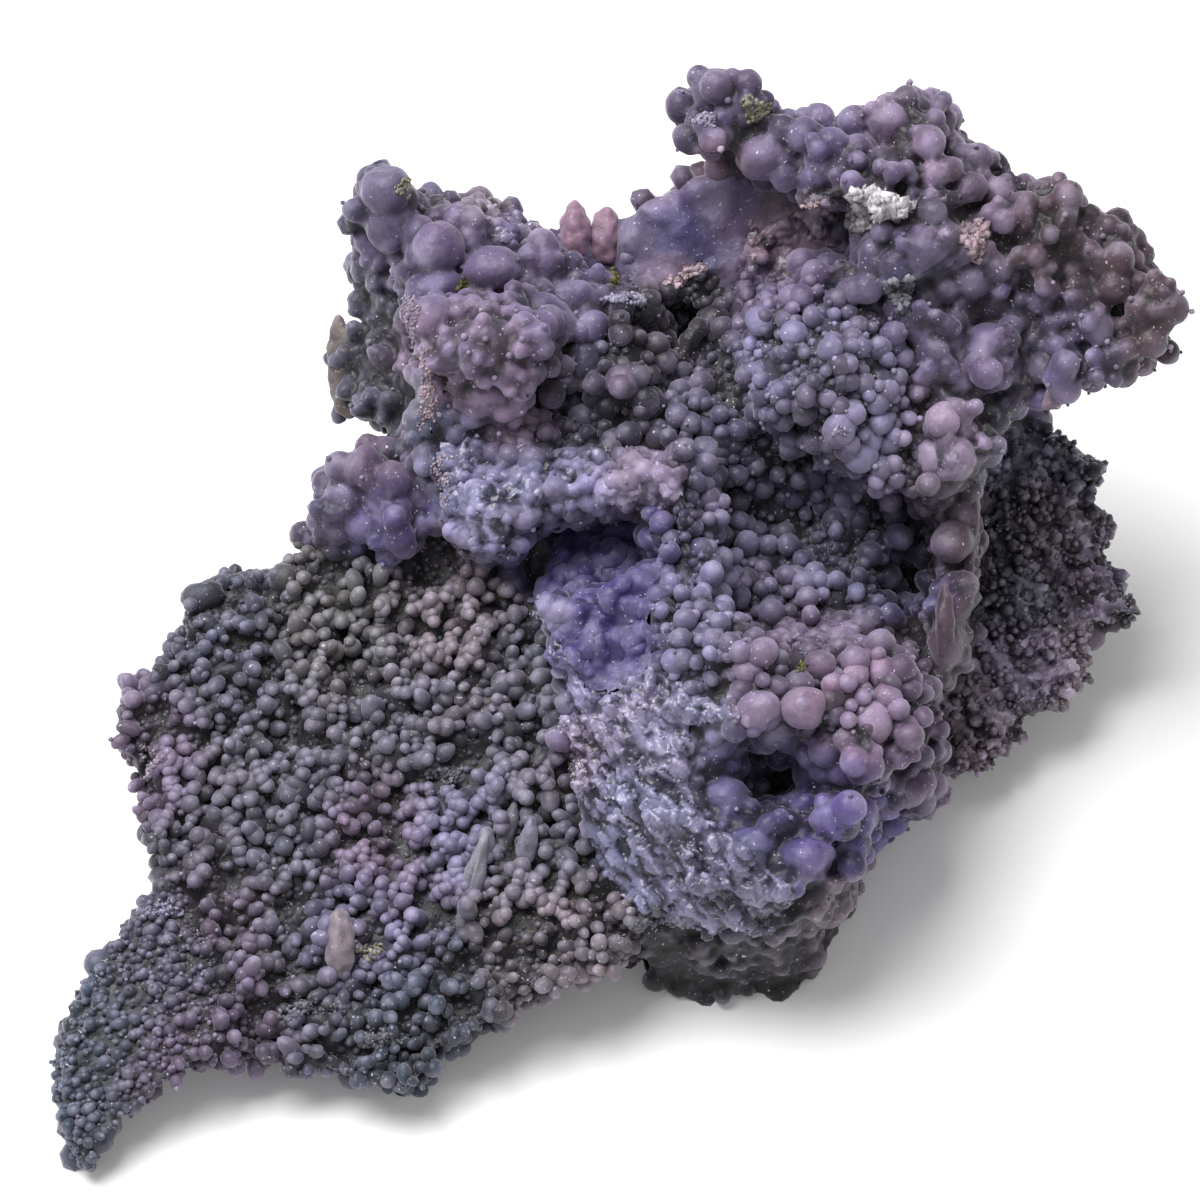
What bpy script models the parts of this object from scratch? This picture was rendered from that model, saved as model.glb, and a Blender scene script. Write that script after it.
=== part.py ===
"""Grape agate: one grown cluster of purple botryoidal chalcedony, modelled as a single solid.

Sizes are in millimetres up to the last step, which turns them to metres. Most forms are placed in the
display frame: x to the right, y up and z towards the person looking at the best side of the cluster.
The resting frame has z up and the same x. It is the display frame turned by DISPLAY_TILT about x.
"""

import math
import random

import bmesh
import bpy
from mathutils import Matrix, Vector
from mathutils.bvhtree import BVHTree

MM = 0.001
DISPLAY_TILT = math.radians(40)
# The point of the resting surface below the middle of the cluster, measured in the resting frame.
REST_POINT = (3.5, -41.0, 0.0)

FORM_VOXEL = 1.5
SKIN_VOXEL = 1.1
LUMP_ALLOWANCE = 1.2
SKIN_TRIANGLES = 5900
# Grapes of this radius or more are joined as round balls, and smaller ones are part of the skin.
ROUND_GRAPE = 3.15
SLIVER = 0.02
FLOOR_SIZE = (400, 400, 60)

# Flat-fronted forms: name, outline (x, y) in the display frame, z of the front in the middle of the
# outline, its rise per millimetre along x and along y, and the thickness behind it.
SLABS = (
    ("plate", (
        (-71, -1), (-66, 5), (-58, 5), (-52, 7), (-42, 7), (-27, 5), (-17, 2), (-10, -3), (-6, -17),
        (-3, -28), (2, -42), (8, -51), (9, -58), (2, -62), (-7, -64), (-12, -67), (-17, -72),
        (-25, -75), (-28, -81), (-38, -82), (-44, -78), (-52, -77), (-60, -77), (-64, -73),
        (-72, -48), (-75, -45), (-77, -40), (-77, -35), (-81, -29), (-82, -23), (-82, -19),
        (-77, -13), (-73, -7),
    ), 67.0, 0.06, -0.344, 17),
    ("plate_under_block", (
        (-45, 8), (-30, 22), (-12, 26), (6, 20), (10, 0), (0, -20), (-30, -10),
    ), 52.0, 0.05, -0.2, 20),
    ("tail", (
        (-68, -47), (-76, -49), (-80, -55), (-84, -60), (-88, -67), (-90, -75), (-90, -83),
        (-88, -89), (-84, -96), (-81, -90), (-76, -84), (-71, -80), (-64, -77), (-57, -75),
        (-58, -60),
    ), 80.0, 0.12, -0.42, 11),
    ("left_block", (
        (-33, 67), (-27, 66), (-20, 67), (-12, 62), (-3, 56), (7, 50), (9, 42), (8, 33), (0, 29),
        (1, 24), (11, 21), (10, 17), (2, 15), (-7, 12), (-16, 7), (-21, 8), (-26, 15), (-29, 22),
        (-32, 28), (-32, 38), (-33, 47), (-34, 57),
    ), 56.0, -0.05, -0.26, 34),
    ("left_block_side", (
        (-36, 73), (-32, 69), (-30, 60), (-28, 45), (-28, 28), (-28, 21), (-33, 23), (-38, 29),
        (-42, 33), (-42, 42), (-40, 48), (-42, 55), (-42, 60), (-43, 66), (-43, 69), (-40, 72),
    ), 43.0, 0.7, -0.1, 22),
    ("left_block_rear", (
        (-32, 69), (-20, 69), (-9, 63), (-6, 58), (2, 55), (6, 46), (0, 44), (-30, 57),
    ), 44.0, 0.0, -0.2, 20),
    ("front_block", (
        (-10, 0), (-7, -10), (-6, -20), (-3, -32), (0, -42), (6, -51), (17, -54), (28, -54),
        (33, -52), (38, -48), (44, -42), (45, -37), (45, -30), (52, -24), (54, -14), (48, -8),
        (42, -6), (30, -6), (17, 1), (4, 4),
    ), 77.0, 0.12, -0.05, 28),
    ("front_face", (
        (-1, -14), (13, -8), (30, -13), (44, -15), (46, -26), (41, -38), (31, -50), (15, -48),
        (5, -36),
    ), 83.0, 0.08, -0.08, 14),
    ("front_block_wing", (
        (40, -8), (50, -7), (57, -16), (57, -27), (54, -33), (47, -35), (42, -30),
    ), 64.0, -0.3, -0.1, 22),
    ("valley", (
        (-2, 30), (17, 34), (27, 34), (40, 26), (60, 20), (60, -12), (50, -12), (42, -10),
        (30, -9), (17, -3), (14, 10), (10, 18),
    ), 50.0, -0.1, -0.50, 24),
    ("right_ridge", (
        (52, 26), (62, 22), (64, 10), (62, 0), (61, -13), (55, -13), (56, 0), (58, 10),
    ), 57.0, 0.0, -0.1, 22),
    ("arm", (
        (16, 87), (20, 87), (28, 85), (32, 82), (42, 79), (45, 83), (50, 85), (57, 84), (61, 80),
        (64, 74), (69, 74), (73, 69), (81, 67), (84, 60), (89, 60), (91, 52), (95, 51), (95, 43),
        (90, 38), (84, 37), (77, 38), (67, 30), (64, 22), (58, 20), (50, 18), (43, 20), (33, 27),
        (27, 33), (24, 43), (28, 52), (37, 58), (38, 66), (28, 70), (20, 74), (15, 78),
    ), 61.0, -0.05, -0.12, 22),
    ("drip", ((72, 37), (78, 37), (78, 31), (75, 31)), 52.0, 0.0, 0.0, 6),
    ("smooth_slab", (
        (3, 60), (4, 64), (7, 67), (9, 69), (19, 73), (26, 73), (40, 76), (44, 66), (34, 50),
        (23, 46), (17, 54), (8, 50),
    ), 43.0, 0.10, 0.1, 14),
    ("dark_plate", (
        (58, 29), (72, 33), (81, 30), (87, 23), (87, 13), (89, 4), (94, -3), (86, -6), (82, -9),
        (85, -11), (85, -15), (78, -19), (73, -20), (70, -27), (67, -30), (56, -28), (52, -15),
        (52, 0), (54, 17),
    ), 31.5, -0.1, -0.27, 13),
)

# The broken foot: the same columns, in the resting frame.
FOOT_SLAB = ("foot", (
    (8, -87), (20, -89), (34, -87), (40, -77), (45, -63), (52, -49), (58, -35), (58, -20),
    (45, -8), (0, -20), (-12, -50), (0, -76),
), 16.0, 0.0, 0.0, 28)

# Rounded forms in the display frame: name, middle, half sizes, turns about x, y and z in degrees
# and squareness, where 2 is an ellipsoid and higher is boxier.
ROUNDED_FORMS = (
    ("hump", (-36.5, 16, 46), (12.5, 10.5, 11), (0, 0, 0), 2.2),
    ("hump_left", (-44, 11, 46), (6, 6, 8), (0, 0, 0), 2.2),
    ("left_block_peak", (-37, 67, 42), (7, 6, 8), (0, 0, 0), 2.2),
    ("left_block_knob", (-17.5, 42, 57), (11, 10, 9), (0, 0, 0), 2.3),
    ("left_block_lip", (0, 19, 59), (15, 4.5, 6), (0, 0, 5), 2.3),
    ("left_block_foot", (-17, 14, 58), (9, 8, 7), (0, 0, 25), 2.3),
    ("left_block_right", (2, 43, 45), (8, 11, 10), (0, 0, 0), 2.3),
    ("dividing_ridge", (15, 10, 56), (5, 17, 15), (0, 0, 6), 2.5),
    ("front_ridge", (27, -13, 72), (24, 8, 13), (0, 0, -20), 2.4),
    ("fracture_ridge_upper", (6, -27, 78), (2.2, 9, 3.0), (0, 0, 42), 2.0),
    ("fracture_ridge_middle", (11, -35, 80), (2.2, 11, 3.4), (0, 0, 40), 2.0),
    ("fracture_ridge_lower", (14, -44, 80), (2.0, 10, 3.2), (0, 0, 52), 2.0),
    ("fracture_ridge_side", (3, -38, 77), (2.0, 9, 2.6), (0, 0, 34), 2.0),
    ("ledge", (27, -19, 82), (17, 4, 4), (0, 0, -8), 2.4),
    ("front_rim", (27, -48, 72), (16, 7, 11), (0, 0, 0), 2.4),
    ("front_wing_lobe", (52, -31, 50), (7, 6, 8), (0, 0, 0), 2.2),
    ("valley_head", (23, 25, 36), (22, 12, 13), (0, 0, 0), 2.5),
    ("saddle", (13, 42, 27), (17, 18, 12), (0, 0, 0), 2.5),
    ("right_ridge_head", (57, 22, 51), (7, 9, 8), (0, 0, 0), 2.2),
    ("arm_tip", (18, 82, 51), (5.5, 6, 6.5), (0, 0, 0), 2.2),
    ("arm_crest", (51, 78, 54), (9, 7, 9), (0, 0, 0), 2.2),
    ("arm_middle", (50, 63, 55), (16, 14, 14), (0, 0, 0), 2.4),
    ("arm_shoulder", (72, 57, 53), (13, 12, 11), (0, 0, -30), 2.4),
    ("arm_end", (86, 48, 49), (10, 10, 10), (0, 0, -20), 2.3),
    ("arm_lobe", (38, 37, 58), (13, 12, 13), (0, 0, 0), 2.3),
    ("arm_front", (60, 38, 53), (11, 13, 12), (0, 0, 0), 2.4),
    ("finger_left", (-4.5, 59.5, 36), (3.0, 8.5, 3.2), (0, 0, 0), 2.0),
    ("finger_right", (1.2, 59, 36), (3.2, 8.5, 3.2), (0, 0, 0), 2.0),
    ("left_flake", (-42, 40, 32), (3.5, 9, 6), (0, 0, -6), 2.6),
    ("dark_spike", (89, -2.5, 28), (5, 4, 4), (0, 0, -10), 2.3),
)

# Rounded forms in the resting frame, below and behind the display side: the same columns.
HIDDEN_FORMS = (
    ("core", (16, -22, 14), (38, 34, 20), (0, 0, 20), 2.6),
    ("core_left", (-24, -44, 15), (34, 28, 9), (21, 0, 0), 2.5),
    ("core_back", (10, 2, 36), (34, 22, 30), (0, 0, 0), 2.6),
    ("arm_neck", (48, 2, 54), (20, 15, 26), (0, 0, 0), 2.6),
)

# Hollows cut into the display side: the same columns, in the display frame.
HOLLOWS = (
    ("violet_hollow", (-1, 7, 76), (13, 8, 17), (0, 0, -8), 2.2),
    ("violet_bowl", (1, -6, 84), (10, 11, 15), (0, 0, -10), 2.2),
    ("grape_hollow", (33, -29, 88), (12, 6.5, 14), (0, 0, -10), 2.2),
    ("low_hollow", (19, -42, 88), (7, 4, 8), (0, 0, -30), 2.2),
    ("slab_hollow", (13, 47, 48), (4.5, 6, 10), (0, 0, 0), 2.2),
    ("arm_hollow", (38, 60, 64), (9, 6, 14), (0, 0, 20), 2.2),
    ("ridge_hollow", (51, 6, 58), (4.5, 10, 13), (0, 0, -8), 2.2),
)

# Single grapes that stand out: x, y and radius in the display frame. Each is set on the surface.
GRAPES = (
    (-36, 68, 4.2), (-36, 63, 3.4), (-28, 59, 4.0), (-37, 57, 3.4), (-27, 52, 3.2), (-31, 50, 2.5),
    (-17, 55, 4.2), (-11, 55, 2.6), (-24, 64, 2.4), (-22, 60, 2.5), (-9, 56, 2.2), (0, 45, 3.0),
    (-3, 39, 3.2), (4, 38, 3.4), (8, 39, 2.6), (-8, 45, 2.8), (-24, 47, 3.2), (-18, 45, 3.8),
    (-13, 42, 3.6), (-16, 38, 3.2), (-12, 38, 3.4), (-22, 42, 3.6), (-13, 30, 2.4), (-11, 24, 2.6),
    (-20, 31, 2.5), (-19, 17, 2.8), (-16, 13, 2.8), (7, 20, 3.8), (2, 19, 3.0), (-1, 23, 2.8),
    (-4, 20, 2.6), (-40, 21, 4.0), (-35, 19, 4.0), (-34, 13, 3.8), (-43, 15, 3.2), (-46, 13, 2.6),
    (11, 12, 3.2), (12, 7, 2.8), (-6, 2, 2.8), (15, 2, 2.6), (55, 59, 3.2), (62, 54, 3.0),
    (55, 46, 3.8), (33, 52, 3.0), (27, 47, 2.8), (32, 44, 2.6), (57, 30, 3.2), (61, 28, 2.5),
    (45, 27, 2.7), (40, 28, 3.2), (57, 36, 3.2), (67, 42, 3.6), (70, 40, 2.6), (57, 24, 3.2),
    (36, 35, 2.8), (38, 34, 2.6), (59, 11, 3.6), (59, 1, 2.8), (58, -6, 2.8), (33, -17, 3.2),
    (45, -19, 3.5), (26, -17, 3.2), (48, -15, 2.4), (39, -17, 2.4), (45, -12, 2.8), (24, -12, 2.4),
    (41, -9, 2.4), (49, -21, 2.8), (54, -17, 3.2), (53, -28, 2.6), (38, -34, 3.6), (33, -33, 3.0),
    (24, -41, 3.8), (37, -28, 2.8), (22, -20, 3.2), (52, -34, 3.6), (17, -2, 2.4), (17, 78, 3.2),
    (18, 86, 2.6), (28, 80, 2.6), (35, 76, 3.4), (46, 84, 2.4), (51, 84, 2.4), (57, 84, 2.2),
    (70, 74, 2.6), (78, 66, 2.8), (88, 60, 2.8), (94, 50, 3.2), (92, 43, 3.2), (84, 39, 3.2),
)

# Growth over the rest of the surface: the smallest and largest radius, the spacing, and how deep the
# balls are sunk as a part of their radius.
GROWTH = {
    "plate": (2.3, 2.8, 5.0, 0.55),
    "tail": (2.0, 2.5, 4.8, 0.65),
    "dark_plate": (2.0, 2.8, 5.0, 0.55),
    "front_block": (2.0, 2.6, 6.0, 0.65),
    "valley": (2.4, 2.9, 5.0, 0.45),
    "blocks": (2.7, 3.5, 5.6, 0.4),
    "hidden": (2.8, 4.2, 7.4, 0.5),
}
GROWTH_SEED = 41


def turned(turns):
    """The rotation by the given degrees: about z first, then y, then x."""
    about_x, about_y, about_z = (math.radians(turn) for turn in turns)
    return (
        Matrix.Rotation(about_x, 4, "X")
        @ Matrix.Rotation(about_y, 4, "Y")
        @ Matrix.Rotation(about_z, 4, "Z")
    )


def add_slab(bm, slab, frame):
    """Adds a form with the given outline and a sloping flat front."""
    _, outline, height, rise_x, rise_y, thickness = slab
    mean_x = sum(x for x, _ in outline) / len(outline)
    mean_y = sum(y for _, y in outline) / len(outline)
    corners = []
    for x, y in outline:
        z = height + rise_x * (x - mean_x) + rise_y * (y - mean_y)
        corners.append(bm.verts.new(frame @ Vector((x, y, z))))
    front = bm.faces.new(corners)
    made = bmesh.ops.extrude_face_region(bm, geom=[front])["geom"]
    moved = [item for item in made if isinstance(item, bmesh.types.BMVert)]
    behind = frame.to_3x3() @ Vector((0, 0, -thickness))
    bmesh.ops.translate(bm, verts=moved, vec=behind)
    faces = list({face for vert in corners + moved for face in vert.link_faces})
    bmesh.ops.recalc_face_normals(bm, faces=faces)


def add_rounded_form(bm, form, frame, detail=4):
    """Adds a form made from an icosphere pushed out to a rounded block."""
    _, middle, half, turns, squareness = form
    made = bmesh.ops.create_icosphere(bm, subdivisions=detail, radius=1.0)["verts"]
    place = frame @ Matrix.Translation(middle) @ turned(turns)
    for vert in made:
        reach = sum(abs(part) ** squareness for part in vert.co) ** (1 / squareness)
        vert.co = place @ Vector([part / reach * size for part, size in zip(vert.co, half)])


def mesh_object(name, bm, collection):
    mesh = bpy.data.meshes.new(name)
    bm.to_mesh(mesh)
    bm.free()
    made = bpy.data.objects.new(name, mesh)
    collection.objects.link(made)
    return made


def new_collection(name):
    made = bpy.data.collections.new(name)
    bpy.context.scene.collection.children.link(made)
    return made


def replace_mesh(obj, bm):
    before = obj.data
    obj.data = bpy.data.meshes.new(obj.name)
    bm.to_mesh(obj.data)
    bm.free()
    bpy.data.meshes.remove(before)


def keep_result(obj):
    """Replaces the object's mesh by the result of its modifiers."""
    graph = bpy.context.evaluated_depsgraph_get()
    result = bpy.data.meshes.new_from_object(obj.evaluated_get(graph), depsgraph=graph)
    obj.modifiers.clear()
    before = obj.data
    obj.data = result
    result.name = obj.name
    bpy.data.meshes.remove(before)


def fuse(obj, voxel, rounds, pull=0.0):
    """Joins the overlapping forms of the object in one skin and smooths it."""
    remesh = obj.modifiers.new("fuse", "REMESH")
    remesh.mode = "VOXEL"
    remesh.voxel_size = voxel
    if pull:
        inward = obj.modifiers.new("inward", "DISPLACE")
        inward.mid_level = 0.0
        inward.strength = -pull
    smooth = obj.modifiers.new("smooth", "SMOOTH")
    smooth.factor = 0.5
    smooth.iterations = rounds
    keep_result(obj)


def cut(obj, cutter):
    boolean = obj.modifiers.new("cut", "BOOLEAN")
    boolean.operation = "DIFFERENCE"
    boolean.solver = "EXACT"
    boolean.object = cutter
    keep_result(obj)


def growth_zone(point, normal):
    """The kind of growth at a point of the display side, by where it is."""
    x, y, _ = point
    if normal.z < -0.1:
        return "hidden"
    if y < -46 and x < -62:
        return "tail"
    if x > 62 and y < 33 and point.z < 45:
        return "dark_plate"
    if x < 0 and y < 8:
        return "plate"
    if x < 46 and y < -2 and x - y < 62:
        return "front_block"
    if -2 < x < 58 and y < 32 and point.z < 62:
        return "valley"
    return "blocks"


def growth_balls(obj, rng):
    """Middles and radii of balls over the surface, at the spacing of the growth at each place."""
    mesh = obj.data
    mesh.calc_loop_triangles()
    triangles = list(mesh.loop_triangles)
    rng.shuffle(triangles)
    chosen = []
    cells = {}
    cell = max(spacing for _, _, spacing, _ in GROWTH.values())
    for tri in triangles:
        corners = [mesh.vertices[i].co for i in tri.vertices]
        point = sum(corners, Vector()) / 3
        zone = growth_zone(point, tri.normal)
        low, high, spacing, sunk = GROWTH[zone]
        key = tuple(int(math.floor(part / cell)) for part in point)
        near = (
            other
            for dx in (-1, 0, 1)
            for dy in (-1, 0, 1)
            for dz in (-1, 0, 1)
            for other in cells.get((key[0] + dx, key[1] + dy, key[2] + dz), ())
        )
        if any((point - other).length < spacing for other in near):
            continue
        cells.setdefault(key, []).append(point)
        radius = rng.uniform(low, high)
        chosen.append((point - tri.normal * sunk * radius, radius))
    return chosen


def lump_mesh(detail):
    """A ball of 1 mm radius to be placed many times."""
    bm = bmesh.new()
    bmesh.ops.create_icosphere(bm, subdivisions=detail, radius=1.0)
    mesh = bpy.data.meshes.new("lump")
    bm.to_mesh(mesh)
    bm.free()
    return mesh


def add_lump(bm, ball, middle, radius):
    place = Matrix.Translation(middle) @ Matrix.Scale(radius, 4)
    ball.transform(place)
    bm.from_mesh(ball)
    ball.transform(place.inverted())


def clear_scene():
    for obj in list(bpy.data.objects):
        bpy.data.objects.remove(obj, do_unlink=True)


def build_forms(collection):
    """The fused forms in the display frame, without their growth."""
    display = Matrix.Identity(4)
    resting = Matrix.Rotation(-DISPLAY_TILT, 4, "X")
    bm = bmesh.new()
    for slab in SLABS:
        add_slab(bm, slab, display)
    for form in ROUNDED_FORMS:
        add_rounded_form(bm, form, display)
    add_slab(bm, FOOT_SLAB, resting)
    for form in HIDDEN_FORMS:
        add_rounded_form(bm, form, resting)
    body = mesh_object("grape_agate", bm, collection)
    fuse(body, FORM_VOXEL, 6, LUMP_ALLOWANCE)
    return body


def cut_hollows(body, collection):
    for hollow in HOLLOWS:
        bm = bmesh.new()
        add_rounded_form(bm, hollow, Matrix.Identity(4), 3)
        cutter = mesh_object(hollow[0], bm, collection)
        cutter.hide_render = True
        cutter.display_type = "WIRE"
        cut(body, cutter)


def place_on(tree, x, y):
    """The point of the display side at x and y, or the nearest point if the form ends before it."""
    point, normal, _, _ = tree.ray_cast(Vector((x, y, 200)), Vector((0, 0, -1)))
    if point is None:
        point, normal, _, _ = tree.find_nearest(Vector((x, y, 48)))
    return point, normal


def grow(body):
    """Covers the body with lumps and fuses them to it."""
    rng = random.Random(GROWTH_SEED)
    bm = bmesh.new()
    bm.from_mesh(body.data)
    tree = BVHTree.FromBMesh(bm)
    ball = lump_mesh(2)
    for middle, radius in growth_balls(body, rng):
        add_lump(bm, ball, middle, radius)
    for x, y, radius in GRAPES:
        if radius < ROUND_GRAPE:
            point, normal = place_on(tree, x, y)
            add_lump(bm, ball, point, radius)
    bpy.data.meshes.remove(ball)
    replace_mesh(body, bm)
    fuse(body, SKIN_VOXEL, 3)


def add_grapes(body, collection):
    """Joins the grapes that stand out to the body, each where its place on the display side is."""
    bm = bmesh.new()
    bm.from_mesh(body.data)
    tree = BVHTree.FromBMesh(bm)
    bm.free()
    ball = lump_mesh(2)
    bm = bmesh.new()
    for x, y, radius in GRAPES:
        if radius >= ROUND_GRAPE:
            point, normal = place_on(tree, x, y)
            add_lump(bm, ball, point, radius)
    bpy.data.meshes.remove(ball)
    grapes = mesh_object("grapes", bm, collection)
    grapes.hide_render = True
    grapes.display_type = "WIRE"
    join = body.modifiers.new("join", "BOOLEAN")
    join.operation = "UNION"
    join.solver = "EXACT"
    join.use_self = True
    join.object = grapes
    keep_result(body)
    bm = bmesh.new()
    bm.from_mesh(body.data)
    bmesh.ops.triangulate(bm, faces=bm.faces)
    bmesh.ops.dissolve_degenerate(bm, dist=SLIVER, edges=bm.edges)
    bmesh.ops.triangulate(bm, faces=bm.faces)
    replace_mesh(body, bm)


def thin_out(body, triangles):
    body.data.calc_loop_triangles()
    decimate = body.modifiers.new("thin out", "DECIMATE")
    decimate.ratio = triangles / len(body.data.loop_triangles)
    keep_result(body)


def rest_on_floor(body, collection):
    """Turns the body to its resting frame, in metres, and cuts its foot flat."""
    to_rest = Matrix.Translation([-part for part in REST_POINT]) @ Matrix.Rotation(DISPLAY_TILT, 4, "X")
    body.data.transform(Matrix.Scale(MM, 4) @ to_rest)
    bm = bmesh.new()
    width, depth, height = (size * MM for size in FLOOR_SIZE)
    below = Matrix.Translation((0, 0, -height / 2)) @ Matrix.Diagonal((width, depth, height, 1))
    bmesh.ops.create_cube(bm, size=1.0, matrix=below)
    floor = mesh_object("floor_cut", bm, collection)
    floor.hide_render = True
    floor.display_type = "WIRE"
    cut(body, floor)


def linked_vertices(start):
    """All vertices joined to the given one by edges."""
    found = {start}
    waiting = [start]
    while waiting:
        vert = waiting.pop()
        for edge in vert.link_edges:
            other = edge.other_vert(vert)
            if other not in found:
                found.add(other)
                waiting.append(other)
    return found


def drop_crumbs(body):
    """Takes out lumps that the cuts left loose, so the cluster is one piece."""
    bm = bmesh.new()
    bm.from_mesh(body.data)
    remaining = set(bm.verts)
    pieces = []
    while remaining:
        piece = linked_vertices(next(iter(remaining)))
        remaining -= piece
        pieces.append(piece)
    largest = max(pieces, key=len)
    crumbs = [vert for vert in bm.verts if vert not in largest]
    bmesh.ops.delete(bm, geom=crumbs, context="VERTS")
    replace_mesh(body, bm)


def stone():
    material = bpy.data.materials.new("purple_chalcedony")
    material.use_nodes = True
    shader = material.node_tree.nodes["Principled BSDF"]
    shader.inputs["Base Color"].default_value = (0.17, 0.13, 0.22, 1.0)
    shader.inputs["Roughness"].default_value = 0.45
    return material


def build():
    clear_scene()
    specimen = new_collection("grape_agate_specimen")
    cutters = new_collection("cutters")
    body = build_forms(specimen)
    cut_hollows(body, cutters)
    grow(body)
    thin_out(body, SKIN_TRIANGLES)
    add_grapes(body, cutters)
    rest_on_floor(body, cutters)
    drop_crumbs(body)
    body.data.materials.append(stone())


build()
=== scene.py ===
# %% [markdown]
# Grape agate: the looks of one cluster of ball-covered purple chalcedony.
# The CAD part gives the shape of the whole cluster. The looks add what it is too coarse for: some
# thousands of grapes in sizes that differ from place to place, melted together here and round there, the
# drusy quartz faces, the crumbs of host rock, and the frosted stone itself.

import math
import random

import bmesh
import bpy
import numpy as np
from mathutils import Matrix, Vector, noise
from mathutils.bvhtree import BVHTree
from mathutils.kdtree import KDTree


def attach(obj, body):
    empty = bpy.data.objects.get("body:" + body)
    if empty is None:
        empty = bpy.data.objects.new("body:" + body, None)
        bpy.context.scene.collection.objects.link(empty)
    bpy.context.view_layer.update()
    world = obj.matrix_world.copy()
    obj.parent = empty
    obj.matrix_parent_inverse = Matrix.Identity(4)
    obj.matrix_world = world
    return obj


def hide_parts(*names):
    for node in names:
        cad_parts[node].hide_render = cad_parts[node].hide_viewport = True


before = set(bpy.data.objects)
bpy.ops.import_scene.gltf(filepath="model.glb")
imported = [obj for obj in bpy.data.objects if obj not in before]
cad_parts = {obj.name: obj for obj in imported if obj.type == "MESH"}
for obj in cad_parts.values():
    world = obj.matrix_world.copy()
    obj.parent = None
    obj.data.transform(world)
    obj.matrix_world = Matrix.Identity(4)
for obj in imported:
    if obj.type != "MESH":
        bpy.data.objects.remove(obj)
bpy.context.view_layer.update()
CAD_NODE = "grape_agate"
# Without a seed, noise_vector takes one from the clock and every run grows another cluster.
NOISE_SEED = 7
noise.seed_set(NOISE_SEED)

# %% [markdown]
# Places are given in the display frame: millimetres, x to the right, y up and z towards the viewer of the
# best side. Leaning that frame forward by DISPLAY_TILT about x and moving it by REST_POINT gives the
# part's own frame. Nearly everything that is seen from the front can then be placed by x and y alone.

# %% Display frame
MM = 0.001
DISPLAY_TILT = math.radians(40)
REST_POINT = Vector((3.5, -41.0, 0.0))
FROM_DISPLAY = (
    Matrix.Scale(MM, 4) @ Matrix.Translation(-REST_POINT) @ Matrix.Rotation(DISPLAY_TILT, 4, "X")
)
TO_DISPLAY = FROM_DISPLAY.inverted()
# Height that drops on to the display side start from, above all of the stone.
DROP_FROM = 300.0
print("display side leans back", round(math.degrees(DISPLAY_TILT)), "degrees")


def vertex_places(mesh):
    """The vertices of a mesh as an array of rows x, y, z in the display frame."""
    flat = np.empty(len(mesh.vertices) * 3)
    mesh.vertices.foreach_get("co", flat)
    turn = np.array(TO_DISPLAY)
    return flat.reshape(-1, 3) @ turn[:3, :3].T + turn[:3, 3]


def set_vertex_places(mesh, places):
    turn = np.array(FROM_DISPLAY)
    mesh.vertices.foreach_set("co", (places @ turn[:3, :3].T + turn[:3, 3]).ravel())
    mesh.update()


def vertex_normals(mesh):
    flat = np.empty(len(mesh.vertices) * 3)
    mesh.vertices.foreach_get("normal", flat)
    turn = np.array(Matrix.Rotation(-DISPLAY_TILT, 3, "X"))
    return flat.reshape(-1, 3) @ turn.T


def add_object(name, mesh):
    made = bpy.data.objects.new(name, mesh)
    bpy.context.scene.collection.objects.link(made)
    return made


def result_of(obj, name):
    """A plain mesh of the object with its modifiers."""
    graph = bpy.context.evaluated_depsgraph_get()
    made = bpy.data.meshes.new_from_object(obj.evaluated_get(graph), depsgraph=graph)
    made.name = name
    return made


# %% [markdown]
# The skin is the CAD node made fine enough to be carved: a voxel remesh at about a millimetre, smoothed
# until the CAD's own facets are gone. A subdivision would keep the facets, and a sculpted sphere would
# lose the shape of the part. Ledges and rims that the CAD leaves soft are laid on it first, as chains of
# balls that the remesh melts into the stone.

# %% Skin
SKIN_VOXEL = 0.95 * MM
SKIN_SMOOTHING = 4
# Ledge: places along it, radius and how far its balls stand out of the CAD surface.
LEDGES = {
    "lip": (((-22, 12), (-14, 14), (-5, 16), (5, 19), (13, 20)), 2.8, 1.4),
    "front_edge": (((-9, 2), (-6, -10), (-5, -24), (1, -38), (8, -49)), 2.0, 0.8),
    "front_foot": (((8, -50), (18, -54), (29, -53), (39, -46), (46, -35)), 2.0, 0.8),
    "slab_wall": (((25, 52), (27, 60), (32, 65), (38, 67)), 2.0, 2.6),
    "slab_rim": (((9, 49), (13, 54), (19, 56)), 1.5, 1.2),
    "ridge_crest": (((60, 24), (62, 12), (60, 0), (57, -10)), 2.4, 1.0),
}
# Lumps that have grown together: x, y and radius, by place.
LUMPS = {
    "dusty_lump": (
        (-20, 42, 5.5), (-14, 38, 4.5), (-25, 41, 4.5), (-17, 33, 4.0), (-22, 35, 4.0),
        (-27, 46, 4.5), (-12, 43, 4.0), (-24, 29, 3.4), (-16, 29, 3.2),
    ),
    "lip": (
        (-0.5, 22, 3.6), (6, 19, 4.6), (4, 23, 3.4), (-4.5, 19, 3.6), (-18, 16, 4.2),
        (-12, 18, 3.2), (11, 21, 3.0), (-23, 18, 3.4), (-22, 9, 3.0), (-16, 11, 3.0),
    ),
    "violet_hollow": (
        (10.5, 11, 4.2), (12, 4.5, 3.8), (3, 0.5, 3.6), (8, 2, 3.8), (10.5, -2, 3.4), (0, -6, 4.0),
        (-4, -10, 3.0), (2, 8, 4.0), (-3, 3, 3.4), (6, -8, 3.6),
    ),
    "arm": (
        (77.5, 66, 4.4), (86, 60, 4.0), (93.5, 50, 3.9), (84.5, 53.5, 5.5), (85.5, 42.5, 5.5),
        (75, 60, 5.0), (91, 44, 3.9), (80, 48, 4.5), (78, 40, 4.0),
    ),
}
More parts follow.
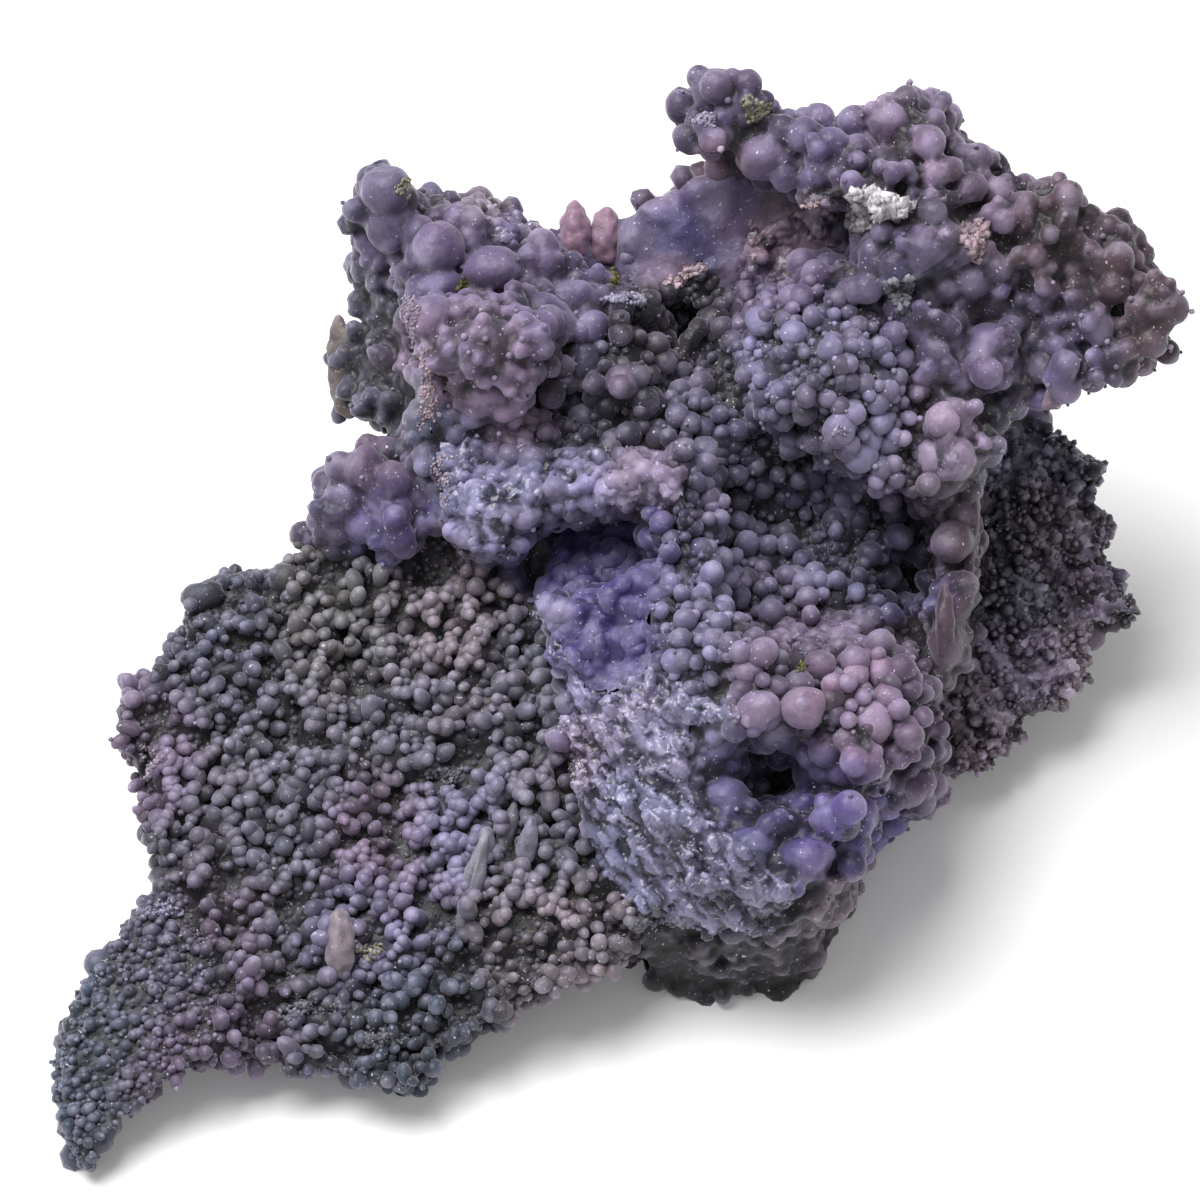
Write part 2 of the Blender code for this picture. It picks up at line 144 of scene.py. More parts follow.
LUMP_SINK = 0.45
# How far apart the balls of a ledge are, as a share of their radius.
LEDGE_STEP = 0.6
VIEWER = Vector(FROM_DISPLAY.to_3x3() @ Vector((0, 0, 1))).normalized()


def tree_of(mesh):
    """A search tree over a mesh, for finding the surface under a place of the display side."""
    corners = [vertex.co for vertex in mesh.vertices]
    faces = [tuple(face.vertices) for face in mesh.polygons]
    return BVHTree.FromPolygons(corners, faces)


def surface_at(tree, x, y):
    """Height z and outward normal of the surface seen at x, y, in the display frame, or None."""
    start = FROM_DISPLAY @ Vector((x, y, DROP_FROM))
    hit, normal, _, _ = tree.ray_cast(start, -VIEWER)
    if hit is None:
        return None
    return (TO_DISPLAY @ hit).z, (TO_DISPLAY.to_3x3() @ normal).normalized()


def along(points, step):
    """Places along a line of points, no further apart than step."""
    places = []
    for (ax, ay), (bx, by) in zip(points, points[1:]):
        count = max(1, math.ceil(math.hypot(bx - ax, by - ay) / step))
        places += [(ax + (bx - ax) * i / count, ay + (by - ay) * i / count) for i in range(count)]
    return places + [points[-1]]


def with_ledges(mesh):
    tree = tree_of(mesh)
    balls = []
    for points, radius, lift in LEDGES.values():
        balls += [(x, y, radius, lift - radius) for x, y in along(points, radius * LEDGE_STEP)]
    for lumps in LUMPS.values():
        balls += [(x, y, radius, -radius * LUMP_SINK) for x, y, radius in lumps]
    bm = bmesh.new()
    bm.from_mesh(mesh)
    for x, y, radius, rise in balls:
        found = surface_at(tree, x, y)
        if found is None:
            continue
        spot = FROM_DISPLAY @ Vector((x, y, found[0] + rise))
        bmesh.ops.create_icosphere(
            bm, subdivisions=3, radius=radius * MM, matrix=Matrix.Translation(spot)
        )
    made = bpy.data.meshes.new("ledged")
    bm.to_mesh(made)
    bm.free()
    return made


def remeshed(mesh, name, voxel, smoothing):
    carrier = add_object("remesh_carrier", mesh)
    remesh = carrier.modifiers.new("voxels", "REMESH")
    remesh.mode = "VOXEL"
    remesh.voxel_size = voxel
    smooth = carrier.modifiers.new("smooth", "SMOOTH")
    smooth.factor = 0.5
    smooth.iterations = smoothing
    made = result_of(carrier, name)
    bpy.data.objects.remove(carrier)
    return made


cad_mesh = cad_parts[CAD_NODE].data.copy()
skin_mesh = remeshed(with_ledges(cad_mesh), "skin", SKIN_VOXEL, SKIN_SMOOTHING)
print("skin faces", len(skin_mesh.polygons))

# %% [markdown]
# Zones say what grows where. Each is an outline on the display side; the first outline that holds a place
# owns it. Stone that faces away from the viewer belongs to the back, which gets plainer growth.

# %% Zones
ZONES = {
    "tail": (
        (-71, -46), (-64, -55), (-62, -67), (-64, -79), (-83, -99), (-93, -92), (-93, -67), (-80, -47),
    ),
    "hump": (
        (-52, 10), (-51, 20), (-42, 29), (-34, 26), (-29, 20), (-26, 13), (-30, 9), (-37, 6),
    ),
    "rear_crust": (
        (-26, 69), (-20, 71), (-10, 65), (-5, 60), (-11.5, 58.5), (-18, 61), (-24, 65),
    ),
    "dusty_lump": (
        (-29, 49), (-22, 51), (-13, 50), (-9, 45), (-9, 37), (-13, 28), (-17, 23), (-22, 27),
        (-27, 33), (-29, 42),
    ),
    "left_side": (
        (-34, 58), (-31, 45), (-32, 33), (-27, 22), (-25, 13), (-29, 20), (-42, 29), (-47, 33),
        (-45, 50), (-43, 59),
    ),
    "left_purple": (
        (-43, 59), (-45, 70), (-36, 76), (-17, 71), (-7, 60), (0, 50), (0, 43), (-8, 40), (-13, 30),
        (-27, 26), (-32, 33), (-31, 45), (-34, 58),
    ),
    "left_right": (
        (0, 50), (9, 50), (11, 33), (9, 26), (0, 26), (-9, 25), (-13, 30), (-8, 40), (0, 43),
    ),
    "lip": (
        (-27, 27), (-13, 30), (-7, 26), (13, 26), (15, 18), (7, 13), (-7, 12), (-17, 6), (-22, 7),
        (-27, 13),
    ),
    "violet": (
        (-7, 12), (7, 13), (12, 7), (8, -3), (9, -10), (3, -15), (-2, -15), (-7, -7), (-12, 0), (-9, 5),
    ),
    "divide": (
        (7, 13), (15, 18), (17, 10), (20, 0), (27, -8), (17, -16), (8, -10), (8, -3), (12, 7),
    ),
    "drusy": (
        (-12, 0), (-7, -7), (-2, -15), (8, -10), (17, -16), (25, -15), (23, -20), (15, -20),
        (15, -33), (27, -43), (32, -48), (28, -55), (17, -55), (7, -52), (0, -45), (-4, -32),
        (-7, -17), (-10, -3),
    ),
    "pink_ridge": (
        (17, 0), (30, -7), (42, -5), (52, -8), (58, -17), (50, -23), (45, -23), (23, -20), (25, -15),
        (17, -10),
    ),
    "grape_hollow": (
        (15, -20), (23, -20), (45, -23), (47, -32), (44, -43), (32, -48), (27, -43), (15, -33),
    ),
    "wing": ((50, -23), (58, -17), (59, -28), (53, -38), (45, -42), (47, -32), (45, -23)),
    "cavity": ((50, 17), (56, 15), (55, -7), (52, -8), (47, 0)),
    "valley": (
        (0, 26), (9, 26), (15, 33), (27, 33), (38, 22), (50, 17), (47, 0), (52, -8), (42, -5),
        (30, -7), (20, 0), (15, 18), (13, 26),
    ),
    "right_ridge": ((56, 27), (64, 25), (65, 7), (61, -17), (56, -15), (55, -7), (56, 15)),
    "lobe": ((23, 43), (28, 52), (38, 53), (50, 45), (55, 33), (56, 15), (38, 22), (27, 33)),
    "arm_recess": ((38, 67), (50, 58), (50, 45), (38, 53), (28, 52), (42, 60)),
    "slab_lump": ((25, 62), (38, 67), (42, 60), (28, 52), (23, 43), (22, 50)),
    "dark_recess": ((8, 52), (17, 57), (23, 50), (23, 33), (15, 33), (9, 27)),
    "arm_front": ((50, 45), (50, 58), (60, 57), (75, 47), (75, 30), (64, 25), (56, 27), (55, 33)),
    "arm_end": ((85, 68), (98, 60), (98, 42), (85, 33), (75, 30), (75, 47), (77, 57)),
    "arm_top": (
        (12, 88), (30, 88), (42, 82), (43, 87), (60, 87), (75, 75), (85, 68), (77, 57), (75, 47),
        (60, 57), (50, 58), (38, 67), (27, 70), (17, 73), (12, 77),
    ),
    "slab": ((2, 57), (3, 66), (8, 72), (22, 75), (38, 67), (25, 62), (23, 50), (17, 57), (8, 52)),
    "rear_ridge": ((-7, 60), (2, 57), (8, 52), (9, 50), (0, 50)),
    "dark_plate": (
        (64, 30), (73, 35), (85, 27), (94, 0), (85, -20), (67, -34), (57, -30), (58, -17), (61, -17),
        (65, 7),
    ),
    "foot": (
        (7, -52), (17, -55), (28, -55), (44, -43), (50, -41), (37, -68), (10, -67), (7, -60),
    ),
    "plate": (
        (-71, 2), (-52, 10), (-33, 7), (-26, 13), (-22, 7), (-10, -3), (-7, -17), (-4, -32), (0, -45),
        (7, -52), (11, -58), (0, -67), (-27, -85), (-50, -80), (-64, -79), (-62, -67), (-64, -55),
        (-71, -46), (-80, -33), (-84, -20),
    ),
}
ZONE_NAMES = list(ZONES) + ["back"]
FACING_LIMIT = -0.05


def inside(outline, x, y):
    """Which of the places x, y are inside a closed outline."""
    held = np.zeros(len(x), bool)
    for (ax, ay), (bx, by) in zip(outline, outline[1:] + outline[:1]):
        spans = (ay > y) != (by > y)
        rise = by - ay if by != ay else 1.0
        held ^= spans & (x < (bx - ax) * (y - ay) / rise + ax)
    return held


def zones_at(places, facing):
    """The index in ZONE_NAMES of each place, from its x, y and how far it faces the viewer."""
    found = np.full(len(places), len(ZONE_NAMES) - 1)
    x = places[:, 0]
    y = places[:, 1]
    for index in reversed(range(len(ZONES))):
        found[inside(ZONES[ZONE_NAMES[index]], x, y)] = index
    found[facing < FACING_LIMIT] = len(ZONE_NAMES) - 1
    return found


def face_zones(mesh):
    centres = np.empty(len(mesh.polygons) * 3)
    mesh.polygons.foreach_get("center", centres)
    normals = np.empty(len(mesh.polygons) * 3)
    mesh.polygons.foreach_get("normal", normals)
    turn = np.array(TO_DISPLAY)
    lean = np.array(Matrix.Rotation(-DISPLAY_TILT, 3, "X"))
    places = centres.reshape(-1, 3) @ turn[:3, :3].T + turn[:3, 3]
    facing = (normals.reshape(-1, 3) @ lean.T)[:, 2]
    return zones_at(places, facing)


# %% [markdown]
# Between the grapes the stone is broken up by dark gaps. Two things carve them: wide dents pushed in at
# named places, and cells of noise whose borders sink below their middles. How deep the cells go is set
# by zone and blurred over the zone borders, and the depth is kept as "cavity": the grapes grow by it, and
# the colours darken with it as painted shade.

# %% Relief
# Dent: x, y, half widths, depth. A negative depth raises the stone.
DENTS = {
    "grape_hollow": (27, -29, 7, 4.5, 8),
    "cavity": (52, 5, 3.5, 9, 8),
    "dark_recess": (15, 42, 5, 6, 8),
    "left_gap": (-4, 36, 4, 5, 5),
    "under_arm": (42, 60, 4, 3, 5),
    "plate_pit": (-42, -7, 4, 6, 5.0),
    "plate_pit_low": (-14, -9, 5, 3, 2.5),
    "lip_shadow": (-4, 12, 9, 2.5, 5),
    "valley_dip": (27, 12, 8, 5, 3),
    "lump": (-20, 38, 7, 6, -1.5),
    "lobe": (35, 36, 8, 7, -1.5),
}
# Zone: depth and width of the cells.
CELLS = {
    "tail": (1.2, 4.5), "plate": (4.2, 6.0), "hump": (1.0, 8.0), "dusty_lump": (0.8, 6.0),
    "rear_crust": (0.8, 5.0), "left_side": (1.8, 5.0),
    "left_purple": (1.4, 9.0), "left_right": (3.5, 8.0), "lip": (0.8, 6.0), "violet": (0.3, 8.0),
    "divide": (2.0, 5.5), "drusy": (0.8, 5.0), "grape_hollow": (2.5, 8.0), "pink_ridge": (2.5, 7.0),
    "wing": (2.5, 7.0), "cavity": (2.5, 6.0), "valley": (3.5, 7.0), "right_ridge": (1.5, 7.0),
    "lobe": (2.5, 6.5), "arm_recess": (3.0, 8.0), "slab_lump": (1.0, 5.0), "dark_recess": (3.0, 6.0),
    "arm_front": (3.0, 9.0), "arm_end": (1.0, 9.0), "arm_top": (2.5, 8.0), "slab": (0.3, 8.0),
    "rear_ridge": (1.5, 5.0), "dark_plate": (1.6, 5.0), "foot": (2.0, 7.0), "back": (3.0, 9.0),
}
# Zone: width and height of the domes where the grapes have grown together.
DOMES = {
    "violet": (4.5, 1.0), "hump": (4.2, 1.8), "dusty_lump": (3.6, 1.4), "left_purple": (4.6, 1.8),
    "left_right": (3.8, 1.5),
    "arm_end": (5.4, 2.4), "arm_top": (4.2, 1.8), "arm_front": (4.2, 1.8), "lobe": (3.4, 1.2),
    "grape_hollow": (4.4, 1.6), "wing": (4.0, 1.5), "pink_ridge": (3.8, 1.5), "slab": (9.0, 0.4),
    "right_ridge": (4.0, 1.3), "valley": (3.2, 1.0), "plate": (3.0, 0.8), "back": (4.0, 1.5),
}
BLUR_STEPS = 12
# Cells at least this deep count as full cavities.
FULL_DEPTH = 1.8
# How fine the noise is that bends the cells or domes, and how far it moves them, in cell widths.
CELL_BEND = (1.7, 0.35)
DOME_BEND = (1.3, 0.15)
# How fast a cell sinks towards its border, and how far a dome reaches from its middle.
BORDER_GAIN = 1.8
BORDER_POWER = 1.5
DOME_REACH = 0.66
# The height on a dome that stays where the skin was.
DOME_LEVEL = 0.4
# Dents are full where the stone faces the viewer by more than one part in this many.
DENT_FACING = 3.0


def vertex_links(mesh):
    """The two ends of every edge, as two arrays."""
    flat = np.empty(len(mesh.edges) * 2, np.int64)
    mesh.edges.foreach_get("vertices", flat)
    return flat[0::2], flat[1::2]


def blurred(values, links, steps):
    """Values of the vertices, each replaced by the mean of its own and its neighbours', again and again."""
    first, second = links
    count = np.bincount(first, minlength=len(values)) + np.bincount(second, minlength=len(values)) + 1
    for _ in range(steps):
        total = values.copy()
        total += np.bincount(first, values[second], len(values))
        total += np.bincount(second, values[first], len(values))
        values = total / count
    return values


def bent(spot, bend):
    """A spot moved by noise. Bend is how fine the noise is and how far it moves the spot."""
    return spot + noise.noise_vector(spot * bend[0]) * bend[1]


def cell_depth(place, width):
    """0 in the middle of a cell and 1 at its border, with the cells bent by noise."""
    near = noise.voronoi(bent(Vector(place) / width, CELL_BEND))[0]
    return 1.0 - min(1.0, (near[1] - near[0]) * BORDER_GAIN)


def dome_height(place, width):
    """0 in the creases and 1 on top of domes of about this width."""
    near = noise.voronoi(bent(Vector(place) / width, DOME_BEND))[0][0]
    return math.sqrt(max(0.0, 1.0 - (near / DOME_REACH) ** 2))


def carve(mesh):
    places = vertex_places(mesh)
    normals = vertex_normals(mesh)
    zones = zones_at(places, normals[:, 2])
    depths = np.array([CELLS[name][0] for name in ZONE_NAMES])[zones]
    widths = np.array([CELLS[name][1] for name in ZONE_NAMES])[zones]
    links = vertex_links(mesh)
    depths = blurred(depths, links, BLUR_STEPS)
    cells = np.array([cell_depth(place, width) for place, width in zip(places, widths)])
    cells = blurred(cells, links, 1)
    sink = depths * cells**BORDER_POWER
    swell = np.zeros(len(places))
    for name, (width, height) in DOMES.items():
        share = blurred((zones == ZONE_NAMES.index(name)).astype(float), links, 3)
        rows = np.flatnonzero(share > 0.01)
        domes = np.array([dome_height(place, width) for place in places[rows]])
        swell[rows] += share[rows] * height * (domes - DOME_LEVEL)
    moved = places + normals * (swell - sink)[:, None]
    for x, y, half_x, half_y, depth in DENTS.values():
        away = ((places[:, 0] - x) / half_x) ** 2 + ((places[:, 1] - y) / half_y) ** 2
        moved[:, 2] -= depth * np.exp(-away) * np.clip(normals[:, 2] * DENT_FACING, 0.0, 1.0)
    set_vertex_places(mesh, moved)
    layer = mesh.attributes.new("cavity", "FLOAT", "POINT")
    cavity = np.clip(cells, 0.0, 1.0) * np.clip(depths / FULL_DEPTH, 0.0, 1.0)
    layer.data.foreach_set("value", cavity.astype(np.float32))


carve(skin_mesh)
zone_of_face = face_zones(skin_mesh)
print("zones", {name: int((zone_of_face == i).sum()) for i, name in enumerate(ZONE_NAMES)})

# %% [markdown]
# Colour is laid on as stains: each named area has its colour and reach, and every vertex takes the
# weighted mean of the stains near it, since stone this translucent has no sharp colour edges. Then each
# grape gets a tone of its own, painted shade darkens its foot and the gaps, and a painted highlight
# makes its tip paler.

# %% Colours
PALETTE = {
    "indigo": "#463d74",
    "violet": "#5c508c",
    "purple": "#6b5d82",
    "dark_purple": "#5b5070",
    "mauve": "#7f6c88",
    "dusty_mauve": "#917f9a",
    "rose": "#957c9a",
    "mauve_brown": "#776672",
    "lilac": "#8d86ad",
    "pale_lilac": "#a9a2c6",
    "periwinkle": "#8584aa",
    "lavender": "#8580a6",
    "umber": "#5a444e",
    "tail_violet": "#4c495f",
    "slate": "#5a5b6e",
    "blue_grey": "#6d6b8e",
    "teal": "#434e5e",
    "grey": "#777486",
    "lavender_grey": "#7f799b",
    "olive_grey": "#716f6e",
    "warm_grey": "#82777f",
    "dark_mauve": "#62506a",
    "dark_violet": "#54497c",
    "deep_indigo": "#3c3173",
    "pink_mauve": "#8f7386",
    "slab_violet": "#554d7c",
    "olive_dark": "#5a5950",
    "flesh": "#8a6c80",
    "flake_brown": "#6b635f",
    "ridge_mauve": "#54434f",
    "finger_grey": "#7b7a84",
    "dark_slate": "#454052",
    "slate_violet": "#57536f",
    "plate_grey": "#6c6a79",
    "coal": "#332e36",
    "dark_brown": "#2f2a2d",
    "brown": "#64565d",
}
# Stones that hide one another share no stain: each of these forms keeps its own.
FORMS = (
    ("tail", "plate"),
    ("hump",),
    ("left_side", "left_purple", "left_right", "dusty_lump", "rear_crust", "lip", "rear_ridge"),
    ("slab",),
    ("slab_lump",),
    ("dark_plate",),
    ("foot",),
)
OTHER_FORM = len(FORMS)
ANY_FORM = -1
# Stain: x, y, reach and colour.
STAINS = (
    (-84, -68, 13, "teal"), (-74, -60, 9, "tail_violet"), (-68, -75, 9, "dark_mauve"),
    (-76, -25, 9, "mauve"), (-63, -8, 10, "slate"), (-45, -6, 9, "olive_grey"),
    (-26, -6, 9, "warm_grey"), (-55, -25, 12, "plate_grey"), (-30, -22, 12, "plate_grey"),
    (-14, -14, 8, "plate_grey"), (-58, -42, 12, "plate_grey"), (-62, -50, 7, "mauve"),
    (-36, -38, 9, "mauve"),
    (-24, -36, 8, "lavender_grey"), (-10, -38, 9, "plate_grey"), (-38, -54, 9, "lavender_grey"),
    (-30, -68, 10, "teal"), (-48, -72, 8, "slate"), (-8, -56, 10, "warm_grey"),
    (-55, -70, 6, "mauve"), (-40, 23, 7, "dark_mauve"), (-36, 14, 6, "dark_violet"),
    (-46, 17, 5, "dark_purple"), (-28, 10, 5, "dark_mauve"), (-42, -8, 4, "olive_dark"),
    (-40, 48, 6, "slate"), (-36, 33, 8, "slate"), (-35, 70, 8, "dark_purple"),
    (-28, 60, 8, "purple"), (-12, 58, 8, "purple"), (-20, 67, 4, "mauve_brown"),
    (-11, 62, 3, "mauve_brown"), (-32, 42, 5, "rose"), (-20, 42, 7, "mauve"),
    (-16, 32, 7, "mauve"), (-26, 36, 3, "rose"), (-5, 48, 7, "purple"), (-4, 38, 6, "dark_slate"),
    (6, 44, 6, "coal"),
    (2, 30, 5, "dark_slate"), (8, 36, 4, "dark_slate"), (-1, 46, 3, "dark_purple"),
    (4, 37, 2.5, "mauve"), (-24, 24, 7, "blue_grey"), (-19, 16, 6, "lavender"),
    (-10, 20, 5, "blue_grey"), (-2, 19, 5, "lavender"), (6, 20, 5, "dusty_mauve"),
    (-2, 4, 11, "deep_indigo"), (11, 9, 6, "dark_violet"), (1, -7, 7, "deep_indigo"),
    (14, 0, 6, "lilac"), (-8, -2, 3.2, "pale_lilac"), (-1, -12, 4, "dark_violet"), (3, -20, 9, "lilac"),
    (-3, -25, 5, "rose"), (12, -20, 7, "lavender"), (6, -36, 9, "periwinkle"),
    (20, -47, 9, "blue_grey"), (28, -32, 9, "indigo"), (38, -36, 8, "violet"),
    (28, -14, 6, "mauve"), (42, -16, 8, "rose"), (34, -5, 7, "mauve"), (54, -24, 7, "dark_mauve"),
    (52, -12, 5, "dark_mauve"), (25, 6, 10, "lavender_grey"), (40, 8, 9, "lavender_grey"),
    (14, 30, 8, "slate_violet"), (30, 24, 8, "slate_violet"), (52, 5, 6, "indigo"),
    (60, 10, 7, "ridge_mauve"),
    (60, -8, 6, "ridge_mauve"), (30, 42, 7, "lilac"), (42, 32, 8, "lavender_grey"),
    (56, 30, 6, "dusty_mauve"), (15, 46, 6, "coal"), (20, 38, 4, "dark_slate"), (30, 50, 5, "purple"),
    (58, 46, 8, "dark_purple"), (42, 60, 6, "dark_purple"), (18, 82, 7, "dark_purple"),
    (32, 76, 8, "purple"), (44, 70, 7, "purple"), (52, 82, 8, "mauve"), (64, 70, 8, "mauve"),
    (66, 42, 8, "purple"), (76, 62, 8, "umber"), (90, 52, 9, "umber"),
    (80, 44, 6, "dark_purple"), (13, 63, 5, "slab_violet"), (5, 62, 4, "dark_purple"),
    (22, 66, 5, "purple"),
    (8, 71, 5, "mauve"), (20, 74, 4, "pink_mauve"), (34, 66, 6, "mauve_brown"),
    (12, 56, 3, "dusty_mauve"), (30, 63, 6, "pink_mauve"), (25, 52, 5, "dark_mauve"),
    (70, 26, 6, "slate"), (68, 14, 6, "coal"), (66, 2, 4, "coal"), (82, 24, 6, "slate"),
    (78, 14, 6, "brown"), (84, 4, 6, "dark_mauve"), (74, 0, 5, "dark_slate"),
    (72, -12, 6, "dark_mauve"), (84, -10, 6, "mauve_brown"),
    (66, -20, 6, "mauve_brown"), (76, -22, 5, "brown"), (91, 0, 4, "coal"),
    (25, -64, 12, "dark_brown"), (42, -54, 8, "brown"),
)
# A stain spreads over this share of its reach, and far off it still has the weight FAR_STAIN.
STAIN_SPREAD = 0.7
FAR_STAIN = 1e-6
# What a stain on one form weighs on another.
STRAY_SHARE = 0.02
# Pale colour of the painted highlight on the tips of raised grapes.
PAINTED_HIGHLIGHT = "#b8b0ca"
# Brightness of the dullest grape and how much the brightest adds, and how bright the painted shade leaves a
# grape's foot and a cavity.
TONE_LEAST = 0.62
TONE_SPAN = 0.42
FOOT_SHADE = 0.55
CAVITY_SHADE = 0.25


def linear(hex_colour):
    """An sRGB hex colour as linear red, green and blue."""
    parts = [int(hex_colour[i : i + 2], 16) / 255 for i in (1, 3, 5)]
    return tuple(p / 12.92 if p <= 0.04045 else ((p + 0.055) / 1.055) ** 2.4 for p in parts)


def form_of_zones(zones):
    """The index of the form that each zone index belongs to."""
    forms = np.full(len(ZONE_NAMES), OTHER_FORM)
    for index, names in enumerate(FORMS):
        forms[[ZONE_NAMES.index(name) for name in names]] = index
    forms[ZONE_NAMES.index("back")] = ANY_FORM
    return forms[zones]


STAIN_SPOTS = np.array([stain_and_painted_light[:2] for stain_and_painted_light in STAINS], dtype=float)
STAIN_FORMS = form_of_zones(zones_at(STAIN_SPOTS, np.ones(len(STAIN_SPOTS))))
print("stains", len(STAINS), "in", len(PALETTE), "colours")


def stained(places, forms):
    """The weighted mean colour of the stains at each place."""
    total = np.full(len(places), 1e-9)
    colour = np.zeros((len(places), 3))
    for (x, y, reach, name), stain_form in zip(STAINS, STAIN_FORMS):
        away = (places[:, 0] - x) ** 2 + (places[:, 1] - y) ** 2
        weight = np.exp(-away / (reach * STAIN_SPREAD) ** 2) + FAR_STAIN / (1.0 + away)
        weight *= np.where((forms == stain_form) | (forms == ANY_FORM), 1.0, STRAY_SHARE)
        total += weight
        colour += weight[:, None] * np.array(linear(PALETTE[name]))
    return colour / total[:, None]


def eased(values, low, high):
    """0 below low, 1 above high and a smooth change between."""
    share = np.clip((values - low) / (high - low), 0.0, 1.0)
    return share * share * (3.0 - 2.0 * share)


def body_colours(patch, gain=1.0, pale=0.30):
    """The colour of each vertex of a patch of grapes, with painted shade at the feet and in cavities. The
    share pale of a raised tip turns to the pale colour of the painted highlight.
    """
    places = patch["places"]
    colour = stained(places, form_of_zones(patch["zone"].astype(int))) * gain
    tone = patch["tone"]
    drift = np.sin(places[:, 0] / 4.1 + 1.7 * np.sin(places[:, 1] / 5.3)) * np.sin(places[:, 1] / 3.7)
    hue = 0.6 * (patch["hue"] - 0.5) + 0.3 * drift
    colour *= (TONE_LEAST + TONE_SPAN * tone)[:, None]
    colour *= np.stack([1.0 + 0.16 * hue, 1.0 - 0.02 * hue, 1.0 - 0.12 * hue], 1)
    # Painted shade: the foot of each grape and the cavities are darkened, where shade would fall.
    foot = eased(patch["rise"], -0.8, 0.4)
    colour *= (FOOT_SHADE + (1.0 - FOOT_SHADE) * foot)[:, None]
    colour *= (1.0 - (1.0 - CAVITY_SHADE) * eased(patch["cavity"], 0.30, 0.90))[:, None]
    # Painted highlight: the raised tip of a brighter grape turns pale.
    painted_highlight_share = pale * tone * eased(patch["rise"], 0.3, 1.0)
    return colour * (1 - painted_highlight_share[:, None]) + np.array(linear(PAINTED_HIGHLIGHT)) * painted_highlight_share[:, None]


# %% [markdown]
# Grown things are kept as patches: plain arrays of places in the display frame, triangles, and the
# values that the colours need. Many patches are joined into one mesh at the end of each piece.

# %% Patches
VALUES = ("tone", "hue", "rise", "cavity", "zone")


def patch_of(mesh, zone=None):
    """A patch of a mesh that belongs to one zone, or to the zones that its vertices are in."""
    places = vertex_places(mesh)
    mesh.calc_loop_triangles()
    triangles = np.empty(len(mesh.loop_triangles) * 3, np.int64)
    mesh.loop_triangles.foreach_get("vertices", triangles)
    patch = {"places": places, "triangles": triangles.reshape(-1, 3)}
    for name in VALUES:
        values = np.full(len(places), 0.5)
        if name in mesh.attributes:
            mesh.attributes[name].data.foreach_get("value", values)
        patch[name] = values
    if zone is None:
        patch["zone"] = zones_at(places, vertex_normals(mesh)[:, 2]).astype(float)
    else:
        patch["zone"] = np.full(len(places), float(ZONE_NAMES.index(zone)))
    return patch


def plain_patch(places, triangles, zone, tone, hue, rise):
    """A patch with the same tone and hue all over."""
    count = len(places)
    return {
        "places": places,
        "triangles": triangles,
        "tone": np.full(count, float(tone)),
        "hue": np.full(count, float(hue)),
        "rise": np.broadcast_to(rise, count).astype(float),
        "cavity": np.zeros(count),
        "zone": np.full(count, float(ZONE_NAMES.index(zone))),
    }


def joined(patches):
    """One patch out of several."""
    whole = {name: np.concatenate([patch[name] for patch in patches]) for name in ("places", *VALUES)}
    shift = np.cumsum([0] + [len(patch["places"]) for patch in patches[:-1]])
    whole["triangles"] = np.concatenate(
        [patch["triangles"] + start for patch, start in zip(patches, shift)]
    )
    return whole


def bare_mesh(patch, name):
    """A mesh with the shape of a patch."""
    mesh = bpy.data.meshes.new(name)
    count = len(patch["triangles"])
    mesh.vertices.add(len(patch["places"]))
    mesh.loops.add(count * 3)
    mesh.polygons.add(count)
    mesh.polygons.foreach_set("loop_start", np.arange(0, count * 3, 3))
    mesh.polygons.foreach_set("loop_total", np.full(count, 3))
    mesh.loops.foreach_set("vertex_index", patch["triangles"].ravel())
    set_vertex_places(mesh, patch["places"])
    mesh.update(calc_edges=True)
    return mesh


def mesh_of(patch, name, material, colours, smooth=True):
    """A mesh of a patch, with its colours in the attribute stain. What would go below the table that
    the cluster lies on is flat there, as the foot is."""
    mesh = bare_mesh(patch, name)
    flat = np.empty(len(mesh.vertices) * 3)
    mesh.vertices.foreach_get("co", flat)
    flat[2::3] = np.maximum(flat[2::3], 0.0)
    mesh.vertices.foreach_set("co", flat)
    mesh.update()
    rows = np.ones((len(patch["places"]), 4), np.float32)
    rows[:, :3] = colours
    # The colours hold the stains with painted shade and painted highlights laid in.
    layer = mesh.attributes.new("stain_and_painted_light", "FLOAT_COLOR", "POINT")
    layer.data.foreach_set("color", rows.ravel())
    mesh.materials.append(material)
    if smooth:
        mesh.shade_smooth()
    return mesh


# %% [markdown]
# The stone is frosted and a little translucent, and a fine rime of quartz points makes its rims pale. So
# the shader has a soft sheen, fine bump, slow changes of colour, and pale flecks that are partly quartz
# specks and partly painted glints, that is painted highlights. Light also goes a millimetre or two into
# the blocks, the arm, the smooth sheets and the fingers, and faintly into the druse. The round grapes,
# the hump, the foot and the back do without that, because it slows the render and shows least there. One
# function builds every finish.

# %% Materials
LIGHT_DEPTH = 2.2 * MM
# Share and colour of the pale flecks, which are partly quartz specks and partly painted glints.
FLECK_AND_GLINT_SHARE = 0.8
FLECK_AND_GLINT = "#e6e1ec"
RIME = "#d8cfe2"
# Sizes of the slow changes of colour, of the flecks and painted glints, and of the swells under the
# frosting.
CLOUD_SIZE = 2.6 * MM
FLECK_AND_GLINT_SIZE = 0.55 * MM
SWELL_SIZE = 1.1 * MM


def add_node(tree, kind, inputs=None, **settings):
    """Adds a node, sets its properties, then sets or links its inputs."""
    node = tree.nodes.new(kind)
    for name, value in settings.items():
        setattr(node, name, value)
    for key, value in (inputs or {}).items():
        if isinstance(value, bpy.types.NodeSocket):
            tree.links.new(value, node.inputs[key])
        else:
            node.inputs[key].default_value = value
    return node


